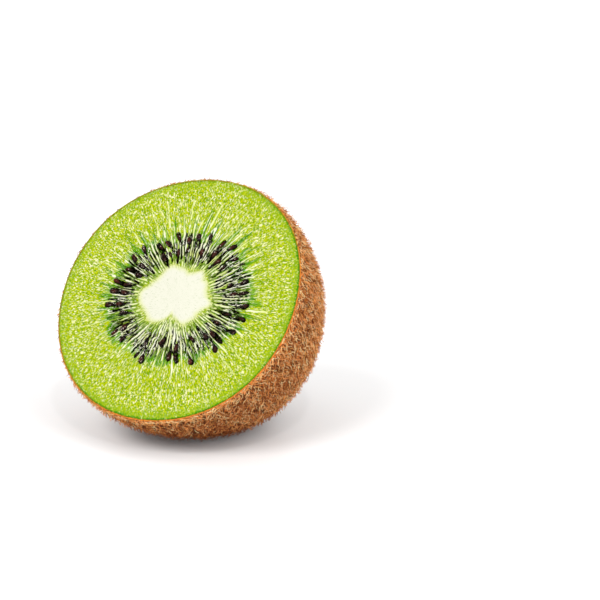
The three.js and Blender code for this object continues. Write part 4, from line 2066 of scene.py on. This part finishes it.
@dataclass
class Studio:
    """A pale floor, soft light and the photograph's viewpoint.

    Distances are in metres, angles in degrees, and pixels are those of a square frame.
    """

    form: FruitForm
    frame_pixels: float = 600.0
    cut_centre_x: float = 177.8
    cut_centre_y: float = 298.7
    pixels_per_mm: float = 5.44
    distance: float = 0.6
    elevation: float = 16.0
    sensor: float = 36.0
    clip: Pair = (0.01, 20.0)
    white: Colour = (1.0, 1.0, 1.0, 1.0)
    sky_strength: float = 0.72
    floor_half: float = 3.0
    floor_tone: Colour = (0.97, 0.97, 0.97, 1.0)
    floor_glow: float = 0.04
    floor_gloss: Gloss = Gloss(0.32, 0.25)
    suns: tuple[Sun, ...] = (
        Sun("key", -38.0, 42.0, 1.6, 25.0),
        Sun("side", 50.0, 40.0, 1.15, 45.0),
        Sun("glint", 10.0, 50.0, 0.3, 3.0),
    )

    def camera(self) -> None:
        """Aim the camera so that the middle of the cut falls on its pixel at the photograph's scale."""
        tilt = np.radians(self.elevation)
        right = np.array([1.0, 0.0, 0.0])
        forward = np.array([0.0, np.cos(tilt), -np.sin(tilt)])
        up = np.array([0.0, np.sin(tilt), np.cos(tilt)])
        middle = self.frame_pixels / 2
        beside = (self.cut_centre_x - middle) / self.pixels_per_mm * MM
        above = (middle - self.cut_centre_y) / self.pixels_per_mm * MM
        spot = self.form.centre * MM - beside * right - above * up - self.distance * forward
        data = bpy.data.cameras.new("camera")
        data.sensor_width = self.sensor
        data.lens = self.sensor * self.pixels_per_mm * (self.distance / MM) / self.frame_pixels
        data.clip_start, data.clip_end = self.clip
        made = bpy.data.objects.new("camera", data)
        rows = [[right[i], up[i], -forward[i], spot[i]] for i in range(3)] + [[0.0, 0.0, 0.0, 1.0]]
        made.matrix_world = Matrix(rows)
        bpy.context.scene.collection.objects.link(made)
        bpy.context.scene.camera = made

    def floor(self) -> None:
        """Lay a large pale sheet, lit a little from below, at the height the fruit rests on."""
        side = self.floor_half
        corners = np.array([[-side, -side, 0.0], [side, -side, 0.0], [side, side, 0.0], [-side, side, 0.0]])
        made = add_mesh("floor", corners, np.array([[0, 1, 2, 3]]), np.zeros((0, 3), int))
        material, _, shader = new_material("floor")
        shader.inputs["Base Color"].default_value = self.floor_tone
        shader.inputs["Emission Color"].default_value = self.white
        shader.inputs["Emission Strength"].default_value = self.floor_glow
        self.floor_gloss.set_on(shader)
        made.data.materials.append(material)

    def sky(self) -> None:
        """Surround the scene with even white light."""
        world = bpy.data.worlds.new("studio")
        world.use_nodes = True
        background = world.node_tree.nodes["Background"]
        background.inputs["Color"].default_value = self.white
        background.inputs["Strength"].default_value = self.sky_strength
        bpy.context.scene.world = world

    def build(self) -> None:
        """Set up floor, sky, lights, camera and plain display colours."""
        self.floor()
        self.sky()
        for sun in self.suns:
            sun.build()
        self.camera()
        bpy.context.scene.view_settings.view_transform = "Standard"


def main() -> None:
    """Build the fruit layer by layer, then its fuzz and the studio."""
    logging.basicConfig(level=logging.INFO, format="%(name)s: %(message)s")
    form = FruitForm().laid_on(*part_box("flesh"))
    Studio(form).build()
    groups = Groups()
    plan = SeedPlan()
    pattern = CutPattern(form, plan)
    outer_finish, inner_finish, core_finish = (
        CutFinish(name).build(groups) for name in ("outer flesh", "inner flesh", "core")
    )
    dress(OuterFlesh(form, pattern).build(), outer_finish, "flesh", "flesh")
    dress(InnerFlesh(form, pattern).build(), inner_finish, "seed_flesh", "seed_ring")
    dress(Core(form, pattern).build(), core_finish, "core", "core")
    dress(Seeds(form, plan).build(), SeedFinish().build(groups), "seed", "seed_ring")
    dress(Skin(form).build(), SkinFinish().build(groups), "skin", "flesh")
    dress(StemEnd(form).build(), StemFinish().build(groups), "skin")
    for kind in HAIR_KINDS:
        dress(Fuzz(form, kind).build(), kind.finish().build(), "fuzz")


if __name__ == "__main__":
    main()
